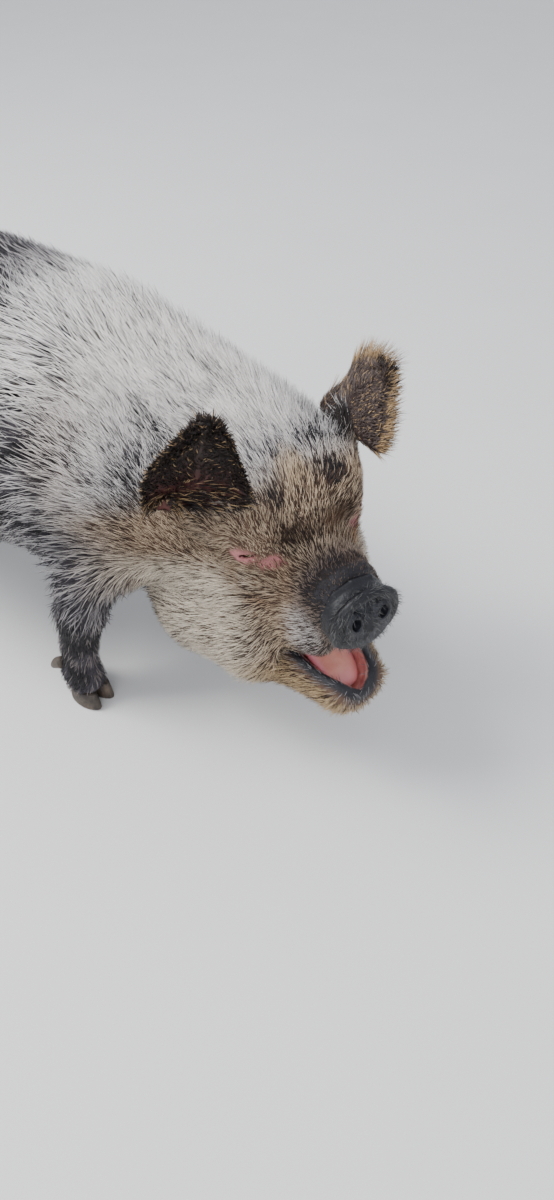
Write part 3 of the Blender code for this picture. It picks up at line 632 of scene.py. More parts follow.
def lie(p, n, rng):
    """Which way the hair lies: back over the trunk, down the flanks and legs, up the forehead and back
    over the cheeks, turned a little by smooth noise and by chance."""
    h = to_head(p)
    ahead = ease(0.16, 0.02, h[:, 1])
    side = np.abs(n[:, 0])
    low = np.clip((0.34 - p[:, 2]) / 0.15, 0, 2.2)
    down = (0.20 + 0.35 * side + 0.9 * low * side) * np.clip(side * 2.0, 0, 1)
    down = down + 1.6 * ease(0.22, 0.15, p[:, 2])
    body_way = np.stack([0.12 * np.sign(p[:, 0]) * side, np.ones(len(p)), -down], 1)
    front = ease(0.15, 0.70, -(n @ HEAD_TURN)[:, 1]) * ease(-0.02, 0.04, h[:, 2])
    rise = -(0.45 + 0.35 * ease(-0.05, -0.10, h[:, 2])) * (1 - front) + 1.3 * front
    outward_x = 0.25 * np.clip(h[:, 0] / 0.035, -1, 1)
    head_way = np.stack([outward_x, 1.0 - 0.5 * front, rise], 1) @ HEAD_TURN.T
    way = blend(body_way / np.linalg.norm(body_way, axis=1)[:, None],
                head_way / np.linalg.norm(head_way, axis=1)[:, None], ahead)
    way = way - n * np.sum(way * n, axis=1)[:, None]
    way = way / np.maximum(np.linalg.norm(way, axis=1), 1e-6)[:, None]
    angle = np.radians(62 * (mottle(p, 0.085, 8) - 0.5) + 44 * (mottle(p, 0.028, 9) - 0.5))
    angle = angle + rng.normal(0.0, 0.13, len(p))
    return way * np.cos(angle)[:, None] + np.cross(n, way) * np.sin(angle)[:, None]


TUFT_RINGS = 2


def tuft_arrays(roots, normals, ways, length, width, lift, bend, height_of=None, rings=TUFT_RINGS):
    """Tufts as thin spindles with a ridged, three-cornered section. The middle line of each runs from its
    root by way x length x t + side x bend x length x t2, at a height above the skin of lift x length x
    t^1.4; the section is widest a third of the way out and comes to a point. Returns points, faces, and t
    for each point."""
    count = len(roots)
    side = np.cross(normals, ways)
    shares = np.linspace(0.0, 1.0, rings + 1)
    widths = np.interp(shares, [0.0, 0.30, 0.70, 1.0], [0.80, 1.0, 0.72, 0.0])
    points = np.empty((count, 3 * rings + 1, 3))
    for k, (t, w) in enumerate(zip(shares, widths)):
        height = lift * length * t ** 1.4
        middle = roots + ways * (length * t)[:, None] + side * (bend * length * t * t)[:, None]
        middle = middle + normals * height[:, None]
        if t == 0.0:
            middle = middle - normals * 0.0016
        elif height_of is not None:
            middle = middle + normals * np.clip(height + 0.0004 - height_of(middle), -0.004, 0.020)[:, None]
        if k == rings:
            points[:, -1] = middle
            continue
        half = (0.5 * width * w)[:, None]
        points[:, 3 * k] = middle - side * half
        points[:, 3 * k + 1] = middle + side * half
        points[:, 3 * k + 2] = middle + normals * (0.70 * half)
    along = np.repeat(shares, [3] * rings + [1])
    cap = np.array([[0, 1, 2]])
    sides = [[3 * k + i, 3 * k + 3 + i, 3 * k + 3 + (i + 1) % 3, 3 * k + (i + 1) % 3]
             for k in range(rings - 1) for i in range(3)]
    last = 3 * (rings - 1)
    tip = [[last + i, 3 * rings, last + (i + 1) % 3] for i in range(3)]
    step = (3 * rings + 1) * np.arange(count)[:, None, None]
    three = (np.concatenate([cap, np.array(tip)])[None] + step).reshape(-1, 3)
    four = (np.array(sides)[None] + step).reshape(-1, 4)
    return points.reshape(-1, 3), [three, four], np.tile(along, count)


def bake_map(obj, places, along, per_tuft):
    """The OFBake map: each tuft is a patch 0.003 across at its root's place on the unwrap of the skin."""
    low, high = places.min(0), places.max(0)
    spread = 0.004 + 0.992 * (places - low) / np.maximum(high - low, 1e-6)
    across = np.tile(np.resize([-1.0, 1.0, 0.0], per_tuft), len(places))
    u = np.repeat(spread[:, 0], per_tuft) + 0.0015 * across
    v = np.repeat(spread[:, 1], per_tuft) + 0.0030 * (along - 0.5)
    layer = obj.data.uv_layers.new(name="OFBake")
    corner = np.empty(len(obj.data.loops), np.int32)
    obj.data.loops.foreach_get("vertex_index", corner)
    layer.data.foreach_set("uv", np.stack([u, v], 1)[corner].astype(np.float32).reshape(-1))


def hair_colours(light, dark, share, rng):
    """The colour of each tuft: dark by chance at the local share, otherwise pale, each a little lighter
    or darker."""
    is_dark = rng.random(len(light)) < share
    colour = np.where(is_dark[:, None], dark, light)
    return colour * rng.uniform(0.72, 1.18, len(light))[:, None]


def coat_piece(name, roots, normals, ways, sizes, colours, places, material, rng, height_of=None,
               rings=TUFT_RINGS):
    """One piece of coat: its tufts, their colour darkened towards the root as painted shade and paler towards
    the tip, and their bake map.
    """
    length, width, lift = sizes
    bend = rng.normal(0.0, 0.13, len(roots))
    points, faces, along = tuft_arrays(roots, normals, ways, length, width, lift, bend, height_of, rings)
    made = mesh_object(name, points + MOVED, faces)
    per_tuft = 3 * rings + 1
    # Partly the hair's own paler tips, partly painted shade: each tuft is darkened towards its root, down
    # among the other hairs.
    shade = (0.58 + 0.50 * along)[:, None]
    add_colour(made, "hair_colour", np.clip(np.repeat(colours, per_tuft, axis=0) * shade, 0.0, 1.0))
    bake_map(made, places, along, per_tuft)
    made.data.materials.append(material)
    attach(made, "root")
    return made


def scattered(points, faces, density, count, rng):
    """Even random places on a mesh: stops at equal steps of the running sum of area x density, so that
    close faces share them out. Returns for each its face and its place within the face."""
    corners = points[faces]
    area = np.linalg.norm(np.cross(corners[:, 2] - corners[:, 0], corners[:, 3] - corners[:, 1]), axis=1) / 2
    weight = np.cumsum(area * density[faces].mean(axis=1))
    stops = (np.arange(count) + rng.random(count)) * (weight[-1] / count)
    face = np.minimum(np.searchsorted(weight, stops), len(faces) - 1)
    return face, rng.random((count, 2))


def within(values, faces, face, place):
    """Values of a mesh's points, at places within its four-sided faces."""
    u, v = place[:, :1], place[:, 1:]
    a, b, c, d = (values[faces[face, k]].reshape(len(face), -1) for k in range(4))
    return a * (1 - u) * (1 - v) + b * u * (1 - v) + c * u * v + d * (1 - u) * v


def unwrapped(p):
    """Where each point of the skin falls on its unwrap: charts side by side, each rolled off a round
    form. The trunk and neck roll off the spine's line, the head off its own long axis, and each leg off
    its upright axis."""
    h = to_head(p)
    angle = np.arctan2(p[:, 0], p[:, 2] - 0.36) / (2 * math.pi) + 0.5
    u = angle * 1.40
    v = p[:, 1] + 0.75
    on_head = h[:, 1] < 0.06
    turned = np.arctan2(h[:, 0], h[:, 2] + 0.03) / (2 * math.pi) + 0.5
    radius = np.hypot(h[:, 0], h[:, 2] + 0.03)
    u = np.where(on_head, 1.6 + 0.9 * turned, u)
    v = np.where(on_head, (h[:, 1] + 0.25) * 1.6 - 0.9 * np.minimum(radius, 0.12), v)
    for k, (foot, side) in enumerate(((f, s) for f in (FORE_FOOT, HIND_FOOT) for s in (1, -1))):
        on_leg = (p[:, 2] < 0.20) & (np.abs(p[:, 1] - foot[1]) < 0.14) & (p[:, 0] * side > 0) & ~on_head
        around = np.arctan2(p[:, 0] - side * foot[0], p[:, 1] - foot[1]) / (2 * math.pi) + 0.5
        u = np.where(on_leg, 1.6 + 0.24 * k + 0.22 * around, u)
        v = np.where(on_leg, 1.0 + p[:, 2], v)
    return np.stack([u, v], 1)


class Shade:
    """A socket of a material, or a number, that can be added, multiplied and so on: each sum adds its
    Math node."""

    def __init__(self, surface, socket):
        self.surface = surface
        self.socket = socket

    def maths(self, operation, a, b):
        return self.surface.node("ShaderNodeMath", {"operation": operation}, {0: a, 1: b})

    def __add__(self, other):
        return self.maths("ADD", self, other)

    def __radd__(self, other):
        return self.maths("ADD", other, self)

    def __sub__(self, other):
        return self.maths("SUBTRACT", self, other)

    def __rsub__(self, other):
        return self.maths("SUBTRACT", other, self)

    def __mul__(self, other):
        return self.maths("MULTIPLY", self, other)

    def __rmul__(self, other):
        return self.maths("MULTIPLY", other, self)

    def __pow__(self, other):
        return self.maths("POWER", self, other)


class Surface:
    """A material under construction: its nodes, its shader, and short ways to the patterns used here."""

    def __init__(self, name, **settings):
        self.material = bpy.data.materials.new(name)
        self.material.use_nodes = True
        self.tree = self.material.node_tree
        self.shader = self.tree.nodes["Principled BSDF"]
        for socket, value in settings.items():
            self.shader.inputs[socket.replace("_", " ")].default_value = value
        self.place = self.node("ShaderNodeTexCoord", {}, {}, "Object")

    def node(self, kind, settings, inputs, output=0):
        """Any node: its settings first, then values or links of its sockets. Gives the named output."""
        made = self.tree.nodes.new(kind)
        for name, value in settings.items():
            if name == "stops":
                ramp = made.color_ramp.elements
                while len(ramp) < len(value):
                    ramp.new(0.5)
                for element, (position, level) in zip(ramp, value):
                    element.position = position
                    element.color = (level, level, level, 1.0)
            else:
                setattr(made, name, value)
        for socket, value in inputs.items():
            if isinstance(value, Shade):
                self.tree.links.new(value.socket, made.inputs[socket])
            else:
                made.inputs[socket].default_value = value
        return Shade(self, made.outputs[output])

    def attribute(self, name, output="Fac"):
        """A number or colour stored on the piece's points."""
        return self.node("ShaderNodeAttribute", {"attribute_name": name}, {}, output)

    def noise(self, scale, detail=3.0, roughness=0.55, stretch=(1.0, 1.0, 1.0), distortion=0.0):
        """Cloudy noise, with features about 1/scale metres across, that may be stretched along an axis."""
        place = self.node("ShaderNodeMapping", {}, {"Vector": self.place, "Scale": stretch})
        return self.node("ShaderNodeTexNoise", {}, {"Vector": place, "Scale": scale, "Detail": detail,
                                                    "Roughness": roughness, "Distortion": distortion})

    def cells(self, scale, feature="F1", stretch=(1.0, 1.0, 1.0)):
        """Distance to the nearest of scattered points, or to the edges between their cells."""
        place = self.node("ShaderNodeMapping", {}, {"Vector": self.place, "Scale": stretch})
        return self.node("ShaderNodeTexVoronoi", {"feature": feature},
                         {"Vector": place, "Scale": scale}, "Distance")

    def ramp(self, value, *stops):
        """A number changed along straight steps between (from, to) stops."""
        return self.node("ShaderNodeValToRGB", {"stops": stops}, {"Fac": value})

    def mix(self, share, a, b, blend_type="MIX"):
        """One colour changed into another by a share."""
        colour = [(*value, 1.0) if isinstance(value, (tuple, np.ndarray)) else value for value in (a, b)]
        return self.node("ShaderNodeMix", {"data_type": "RGBA", "blend_type": blend_type},
                         {0: share, 6: colour[0], 7: colour[1]}, 2)

    def bump(self, height, strength, distance):
        """Relief for the shader's normal: height in shares of distance."""
        made = self.node("ShaderNodeBump", {}, {"Height": height, "Strength": strength, "Distance": distance})
        self.tree.links.new(made.socket, self.shader.inputs["Normal"])

    def feed(self, **links):
        """Links to the shader's sockets by name. Gives the finished material."""
        for name, value in links.items():
            self.tree.links.new(value.socket, self.shader.inputs[name.replace("_", " ")])
        return self.material


def coat_material():
    """Hair: the colour of each tuft with faint streaks along it."""
    s = Surface("coat_hair", Specular_IOR_Level=0.32)
    streak = s.noise(900.0, 2.0)
    colour = s.mix(s.ramp(streak, (0.30, 0.0), (0.72, 1.0)), s.mix(1.0, s.attribute("hair_colour", "Color"),
                   (0.80, 0.79, 0.78), "MULTIPLY"), s.attribute("hair_colour", "Color"))
    s.feed(Base_Color=colour, Roughness=0.50 + 0.20 * streak)
    return s.material


def hide_material():
    """The hide under the hair, the dark bare lips and the wet pink inside of the mouth."""
    s = Surface("hide", Specular_IOR_Level=0.35)
    grain, fine = s.noise(160.0, 4.0), s.noise(620.0, 2.0)
    hide = s.mix(s.ramp(grain, (0.35, 0.0), (0.70, 1.0)), s.mix(1.0, s.attribute("hide_colour", "Color"),
                 (0.62, 0.60, 0.60), "MULTIPLY"), s.attribute("hide_colour", "Color"))
    lips, wet = s.attribute("lips"), s.attribute("mouth")
    hide = s.mix(lips, hide, s.mix(s.ramp(fine, (0.4, 0.0), (0.8, 1.0)), tone(20, 20, 24), tone(46, 46, 53)))
    flesh_tone = s.mix(s.ramp(s.noise(70.0, 3.0), (0.35, 0.0), (0.65, 1.0)), tone(196, 116, 112),
                       tone(226, 156, 146))
    hide = s.mix(wet, hide, flesh_tone)
    creases = s.cells(240.0, "DISTANCE_TO_EDGE", (1.0, 1.4, 1.0))
    s.bump(0.6 * grain + 0.4 * s.ramp(creases, (0.0, 0.0), (0.25, 1.0)) + 0.2 * fine, 0.55, 0.0012)
    return s.feed(Base_Color=hide, Roughness=0.72 - 0.42 * wet - 0.28 * lips + 0.10 * grain)


def snout_material():
    """Bare blue-black skin of the disc: fine bumps, creases, a paler bloom on its front and a moist
    sheen."""
    s = Surface("snout_skin", Specular_IOR_Level=0.38)
    grain, large = s.noise(420.0, 4.0), s.noise(60.0, 3.0)
    pits = s.cells(330.0)
    colour = s.mix(s.ramp(large, (0.35, 0.0), (0.68, 1.0)), tone(15, 15, 19), tone(36, 37, 45))
    colour = s.mix(s.attribute("rim"), colour, tone(17, 17, 22))
    colour = s.mix(0.35 * s.ramp(pits, (0.05, 1.0), (0.30, 0.0)), colour, tone(62, 64, 74))
    # Painted shade: the nostrils' bores turned near black.
    colour = s.mix(s.attribute("inside"), colour, tone(8, 7, 8))
    s.bump(0.5 * grain + 0.6 * s.ramp(pits, (0.0, 0.0), (0.5, 1.0)), 0.55, 0.0009)
    return s.feed(Base_Color=colour, Roughness=0.34 + 0.20 * grain)


def tongue_material():
    """Moist pink flesh with fine papillae, paler on top."""
    s = Surface("tongue_flesh", Specular_IOR_Level=0.5, Subsurface_Weight=0.0)
    papillae, large = s.cells(700.0), s.noise(45.0, 3.0)
    colour = s.mix(s.ramp(large, (0.3, 0.0), (0.7, 1.0)), tone(206, 128, 116), tone(224, 158, 140))
    colour = s.mix(s.attribute("edge"), colour, tone(232, 150, 160))
    s.bump(s.ramp(papillae, (0.0, 1.0), (0.6, 0.0)), 0.35, 0.0006)
    return s.feed(Base_Color=colour, Roughness=0.30 + 0.18 * large)


def horn_material():
    """Dull dark horn with growth rings level with the floor and fine upright grain."""
    s = Surface("hoof_horn", Specular_IOR_Level=0.4)
    rings = s.noise(260.0, 2.0, stretch=(0.12, 0.12, 1.0))
    grain = s.noise(480.0, 3.0, stretch=(1.0, 1.0, 0.15))
    worn = s.ramp(s.noise(50.0, 3.0), (0.35, 0.0), (0.70, 1.0))
    colour = s.mix(worn, tone(48, 41, 37), tone(104, 90, 76))
    colour = s.mix(0.5 * s.ramp(grain, (0.35, 1.0), (0.65, 0.0)), colour, tone(28, 24, 22))
    s.bump(0.6 * rings + 0.4 * grain, 0.6, 0.0010)
    return s.feed(Base_Color=colour, Roughness=0.42 + 0.25 * grain)


def eye_material():
    """A dark brown iris round a black pupil, in a dull white that is stained brown near it."""
    s = Surface("eye_wet", Specular_IOR_Level=0.5, Coat_Weight=0.6, Coat_Roughness=0.03)
    off_axis = s.attribute("off_axis") + 0.02 * (s.noise(900.0, 2.0) - 0.5)
    iris = s.mix(s.ramp(s.noise(1400.0, 2.0), (0.35, 0.0), (0.65, 1.0)), tone(48, 28, 16), tone(92, 58, 32))
    colour = s.mix(s.ramp(off_axis, (0.20, 0.0), (0.23, 1.0)), tone(6, 5, 5), iris)
    colour = s.mix(s.ramp(off_axis, (0.46, 0.0), (0.52, 1.0)), colour, tone(60, 42, 32))
    colour = s.mix(s.ramp(off_axis, (0.56, 0.0), (0.75, 1.0)), colour, tone(96, 76, 66))
    return s.feed(Base_Color=colour, Roughness=0.10 + 0.10 * off_axis)


def ear_material():
    """The ear's own thin skin: dark outside, with a red-brown hollow."""
    s = Surface("ear_skin", Specular_IOR_Level=0.3)
    grain = s.noise(200.0, 4.0)
    colour = s.mix(s.ramp(grain, (0.35, 0.0), (0.7, 1.0)), tone(36, 28, 26), tone(66, 52, 48))
    colour = s.mix(s.attribute("hollow"), colour, tone(84, 46, 42))
    s.bump(grain, 0.5, 0.0010)
    return s.feed(Base_Color=colour, Roughness=0.66 + 0.12 * grain)


def floor_material():
    """A plain pale floor with the faintest unevenness."""
    s = Surface("pale_floor", Specular_IOR_Level=0.25)
    haze = s.noise(3.0, 2.0)
    return s.feed(Base_Color=s.mix(haze, tone(222, 221, 218), tone(228, 227, 224)),
                  Roughness=0.80 + 0.05 * haze)


HAIR = coat_material()
HIDE = hide_material()
rng = np.random.default_rng(SEED)

# The skin: the flesh, brought in by the depth of the coat that stands on it.
BODY_COAT_DEPTH = 0.009
FACE_COAT_DEPTH = 0.0040
LEG_COAT_DEPTH = 0.0025
SHORTEST_TUFT = 0.003


def coat_depth(p):
    """How far the skin lies inside the flesh's outline: most on the body, less on the face and legs, and
    next to nothing at the lids and in the mouth."""
    h = to_head(p)
    on_head = ease(0.12, 0.03, h[:, 1])
    depth = BODY_COAT_DEPTH + (FACE_COAT_DEPTH - BODY_COAT_DEPTH) * on_head
    leg = ease(0.24, 0.12, p[:, 2]) * (1 - on_head)
    depth = depth + (LEG_COAT_DEPTH - depth) * leg
    open_mouth = ease(0.020, 0.004, np.minimum(mouth(h, to_jaw(h)), slot(h)))
    at_eye = ease(0.030, 0.018, np.linalg.norm(both_sides(h) - np.float32(EYE_AT), axis=1))
    return depth * (1 - np.maximum(open_mouth * on_head, 0.9 * at_eye))


def skin(p):
    """Distance to the skin, in the body's frame."""
    p = np.asarray(p, np.float32)
    above_hoofs = HOOF_TOP + 0.0003 - p[:, 2]
    return np.maximum(flesh(p) + coat_depth(p), above_hoofs)


points, faces = skin_surface(skin, BODY_SPACING)
points, normals = settled_on(skin, points)
print("skin", len(points), "points", len(faces), "faces")
hide_piece = mesh_object("skin", points + MOVED, faces)
light, dark, share, hide_tones = coat_colours(points, normals)
uncovered = bare(points)
add_colour(hide_piece, "hide_colour", blend(hide_tones, HIDE_PINK, uncovered["pink"]))
add_number(hide_piece, "lips", uncovered["lips"])
add_number(hide_piece, "mouth", uncovered["mouth"])
hide_piece.data.materials.append(HIDE)
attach(hide_piece, "root")
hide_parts("torso", "neck", "head", "lower_jaw", "leg_front_left", "leg_front_right",
            "leg_hind_left", "leg_hind_right")

# The coat on the skin.
area_zones = zones(points, normals)
h_points = to_head(points)
thin_on = 1.0 - np.clip(uncovered["mouth"] + 0.80 * uncovered["lips"] + 0.90 * uncovered["pink"], 0, 1)
head_share = area_zones["head"]
head_density = 1.0 + 1.2 * area_zones["muzzle"] + 0.9 * area_zones["brow"] + 0.7 * area_zones["forehead"]
body_density = 1.0 + 0.6 * area_zones["leg"] + 0.45 * area_zones["crest"]
density = (1 - head_share) * body_density + head_share * 4.6 * head_density
density = density * thin_on * ease(HOOF_TOP + 0.004, HOOF_TOP + 0.012, points[:, 2])
eye_left_at = np.array([EYE_AT[0], EYE_AT[1], EYE_AT[2]])
folded = np.stack([np.abs(h_points[:, 0]), h_points[:, 1], h_points[:, 2]], 1)
density = density * ease(0.9, 1.25, np.linalg.norm((folded - eye_left_at) / 0.0165, axis=1))
disc_side = np.linalg.norm((h_points - np.array([0, -0.200, -0.020])) / np.array([0.05, 0.016, 0.045]),
                           axis=1)
density = density * ease(0.95, 1.10, disc_side)

TUFT_COUNT = 124000
face, place = scattered(points, faces, density, TUFT_COUNT, rng)
roots = within(points, faces, face, place)
root_normals = within(normals, faces, face, place)
root_normals /= np.linalg.norm(root_normals, axis=1)[:, None]
ways = lie(roots, root_normals, rng)
root_zones = zones(roots, root_normals)
on_head = root_zones["head"]
length = 0.042 - 0.006 * root_zones["belly"] + 0.014 * root_zones["crest"] * (1 - on_head)
length = blend_number(length, 0.017, root_zones["leg"])
face_length = 0.0135 + 0.013 * root_zones["jowl"] + 0.012 * root_zones["forehead"]
face_length = face_length + 0.014 * root_zones["crest"]
face_length = face_length - 0.0045 * root_zones["muzzle"] + 0.003 * root_zones["brow"]
face_length = face_length + 0.008 * root_zones["chin"]
face_length = face_length - 0.004 * root_zones["bald"] - 0.010 * root_zones["rim"] - 0.005 * root_zones["eye"]
length = blend_number(length, np.clip(face_length, SHORTEST_TUFT, None), on_head)
length = length * rng.uniform(0.66, 1.30, TUFT_COUNT)
width = blend_number(0.0020, 0.00112, on_head) * rng.uniform(0.70, 1.25, TUFT_COUNT)
width = width * (1 - 0.30 * root_zones["leg"]) * (1 + 0.30 * root_zones["jowl"])
width = width * (1 - 0.25 * root_zones["muzzle"])
width = width * (1 - 0.35 * root_zones["rim"])
lift = 0.15 + 0.17 * root_zones["crest"] + 0.10 * on_head + rng.uniform(-0.06, 0.13, TUFT_COUNT)
light, dark, share, _ = coat_colours(roots, root_normals)
colours = hair_colours(light, dark, share, rng)
places = unwrapped(roots)

h_roots = to_head(roots)
is_head = h_roots[:, 1] < 0.075
is_low = (roots[:, 2] < 0.20) & ~is_head
groups = {}
for name, side in (("left", 1), ("right", -1)):
    beside = roots[:, 0] * side >= 0
    beside_head = h_roots[:, 0] * side >= 0
    groups["coat_face_" + name] = is_head & beside_head & (h_roots[:, 1] < -0.055)
    groups["coat_cheek_" + name] = is_head & beside_head & (h_roots[:, 1] >= -0.055)
    groups["coat_neck_" + name] = ~is_head & ~is_low & beside & (roots[:, 1] < -0.20)
    groups["coat_flank_" + name] = ~is_head & ~is_low & beside & (roots[:, 1] >= -0.20) & (roots[:, 1] < 0.16)
    groups["coat_rump_" + name] = ~is_head & ~is_low & beside & (roots[:, 1] >= 0.16)
    groups["coat_legs_" + name] = is_low & beside
for name, chosen in groups.items():
    made = coat_piece(name, roots[chosen], root_normals[chosen], ways[chosen],
                      (length[chosen], width[chosen], lift[chosen]),
                      colours[chosen], places[chosen], HAIR, rng, skin)
    "face_hair" if "face" in name or "cheek" in name else "coat"
    print(name, int(chosen.sum()), "tufts")


def small_surface(field, low, high, spacing):
    """The closed surface of a small form's field on an even grid between two corners: points and faces."""
    low = np.array(low, float)
    counts = np.ceil((np.array(high) - low) / spacing).astype(int) + 1
    index = np.stack(np.meshgrid(*[np.arange(n) for n in counts], indexing="ij"), -1).reshape(-1, 3)
    value = field(np.float32(low + spacing * index)).reshape(counts)
    made, around = crossings(value)
    return settled_on(field, low + spacing * made)[0], around


def disc(h):
    """The snout disc in the head's frame: a pad with a thick rolled rim, a middle fold and two nostrils."""
    q = both_sides(h)
    d = ellipsoid(h, (0.000, -0.200, -0.022), (0.0490, 0.0180, 0.0410), turn(pitch=-6))
    d = melt(d, ellipsoid(h, (0.000, -0.186, -0.020), (0.0470, 0.0240, 0.0420)), 0.010)
    angles = np.radians(np.linspace(-50, 90, 12))
    rim = [(0.0445 * math.cos(a), -0.2075 - 0.0065 * math.sin(a),
            -0.020 + 0.0375 * math.sin(a)) for a in angles]
    d = melt(d, chain(q, rim, [0.0040] + [0.0066] * 5 + [0.0074] * 5 + [0.0076]), 0.0030)
    roll = [(0.0, -0.188, 0.022), (0.026, -0.187, 0.016), (0.041, -0.184, -0.004), (0.044, -0.186, -0.024)]
    d = melt(d, chain(q, roll, [0.0050, 0.0050, 0.0045, 0.003]), 0.003)
    d = melt(d, chain(h, [(0, -0.2155, -0.010), (0, -0.2175, -0.030), (0, -0.2135, -0.050)],
                      [0.003, 0.0052, 0.003]), 0.007)
    wing = ellipsoid(q, (0.0215, -0.2150, -0.0130), (0.0135, 0.0080, 0.0160))
    d = melt(d, wing, 0.004)
    return carve(d, nostril(h), 0.0022)


def nostril(h):
    """The two nostrils: slanting bores in the disc."""
    return ellipsoid(both_sides(h), (0.0195, -0.2230, -0.0135), (0.0070, 0.0200, 0.0098), turn(roll=18))


def disc_piece():
    """The snout disc as its own fine piece, with painted shade in the nostrils and a darker tone on the rim.
    """
    at, around = small_surface(disc, (-0.060, -0.235, -0.080), (0.060, -0.160, 0.040), 0.0015)
    made = mesh_object("snout_disc", from_head(at) + MOVED, around)
    # Painted shade: points down in the nostrils' bores are marked to be turned near black.
    add_number(made, "inside", ease(0.0012, -0.0030, nostril(at) - 0.0005) * ease(-0.214, -0.208, at[:, 1]))
    ring = np.hypot(at[:, 0] / 0.0445, (at[:, 2] + 0.020) / 0.0375)
    add_number(made, "rim", ease(0.80, 0.95, ring))
    made.data.materials.append(snout_material())
    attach(made, "root")
    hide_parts("snout")
    return at


def smooth_path(points, count):
    """A curve through given points (Catmull-Rom), at even steps of its parameter."""
    p = np.array(points, float)
    p = np.concatenate([[2 * p[0] - p[1]], p, [2 * p[-1] - p[-2]]])
    t = np.linspace(0, len(points) - 1 - 1e-9, count)
    k = t.astype(int)
    t = (t - k)[:, None]
    a, b, c, d = p[k], p[k + 1], p[k + 2], p[k + 3]
    return 0.5 * (2 * b
                  + (c - a) * t + (2 * a - 5 * b + 4 * c - d) * t * t + (3 * b - a - 3 * c + d) * t ** 3)


def tube(rows):
    """Faces round a closed tube of rows of points, with both ends closed by a fan to a middle point; the
    two middle points come last. rows is an array of rows by columns by three."""
    n, m = rows.shape[:2]
    k = np.arange(n - 1)[:, None] * m + np.arange(m)[None]
    nxt = np.arange(n - 1)[:, None] * m + (np.arange(m)[None] + 1) % m
    sides = np.stack([k, nxt, nxt + m, k + m], -1).reshape(-1, 4)
    first, last = n * m, n * m + 1
    ring = np.arange(m)
    low = np.stack([(ring + 1) % m, ring, np.full(m, first)], 1)
    high = np.stack([(n - 1) * m + ring, (n - 1) * m + (ring + 1) % m, np.full(m, last)], 1)
    made = np.concatenate([rows.reshape(-1, 3), [rows[0].mean(0)], [rows[-1].mean(0)]])
    return made, [sides, np.concatenate([low, high])]


def outward(obj):
    """Faces turned to look outwards, by the sign of the volume that they close."""
    mesh = obj.data
    mesh.calc_loop_triangles()
    co = np.empty(len(mesh.vertices) * 3, np.float32)
    mesh.vertices.foreach_get("co", co)
    tri = np.empty(len(mesh.loop_triangles) * 3, np.int32)
    mesh.loop_triangles.foreach_get("vertices", tri)
    corner = co.reshape(-1, 3)[tri.reshape(-1, 3)].astype(float)
    corner -= corner.mean((0, 1))
    if np.einsum("ij,ij->i", corner[:, 0], np.cross(corner[:, 1], corner[:, 2])).sum() < 0:
        mesh.flip_normals()
    return obj


def tongue_piece():
    """The tongue: sections along a line from the throat to the tip, each a flat oval with a groove along
    its top and edges that turn up a little; its section narrows to the tip as a quarter circle."""
    n, m = 60, 48
    s = np.linspace(0.0, 1.0, n)
    y = -0.045 - 0.156 * s
    z = 0.003 + 0.0045 * np.sin(math.pi * s) + 0.006 * s
    half = 0.0280 * np.sqrt(np.clip(1 - ((s - 0.45) / 0.56) ** 4, 0.0004, 1))
    thick = 0.0135 * np.sqrt(np.clip(1 - ((s - 0.42) / 0.585) ** 4, 0.0004, 1))
    a = np.linspace(0, 2 * math.pi, m, endpoint=False)
    x = half[:, None] * np.cos(a)[None]
    top = np.sin(a)[None] * thick[:, None]
    groove = -0.0030 * np.exp(-(x / 0.0050) ** 2) * np.clip(np.sin(a), 0, 1)[None]
    groove = groove * np.sin(math.pi * s)[:, None]
    curl = 0.10 * (x / 0.0255) ** 2 * 0.02
    rows = np.stack([x, np.repeat(y[:, None], m, 1), z[:, None] + top + groove + curl], -1)
    made, around = tube(rows)
    piece = outward(mesh_object("tongue_flesh", from_jaw(made) + MOVED, around))
    edge = ease(0.70, 1.0, np.abs(made[:, 0]) / 0.0255) + 0.6 * ease(-0.17, -0.20, made[:, 1])
    add_number(piece, "edge", edge)
    piece.data.materials.append(tongue_material())
    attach(piece, "root")
    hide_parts("tongue")


def eye_pieces():
    """Each eyeball: a globe of two angles whose front swells a little where the clear window is."""
    material = eye_material()
    for name, side in (("left", 1), ("right", -1)):
        low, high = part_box("eye_" + name)
        centre = np.array([(low[i] + high[i]) / 2 for i in range(3)])
        gaze = HEAD_TURN @ np.array([side * 0.80, -0.58, 0.10])
        gaze /= np.linalg.norm(gaze)
        upright = np.cross(gaze, np.cross([0, 0, 1], gaze))
        upright /= np.linalg.norm(upright)
        beside = np.cross(upright, gaze)
        a = np.linspace(0.02, math.pi - 0.02, 32)[:, None]
        b = np.linspace(0, 2 * math.pi, 48, endpoint=False)[None]
        radius = EYE_RADIUS * (1 + 0.05 * np.exp(-(a / 0.50) ** 2)) + 0.0 * b
        rows = centre + (radius * np.cos(a))[..., None] * gaze \
            + (radius * np.sin(a) * np.cos(b))[..., None] * beside \
            + (radius * np.sin(a) * np.sin(b))[..., None] * upright
        made, around = tube(rows)
        piece = outward(mesh_object("eyeball_" + name, made, around))
        seen = (made - centre) / np.linalg.norm(made - centre, axis=1)[:, None]
        add_number(piece, "off_axis", np.arccos(np.clip(seen @ gaze, -1, 1)) / 1.2)
        piece.data.materials.append(material)
        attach(piece, "root")
        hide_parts("eye_" + name)


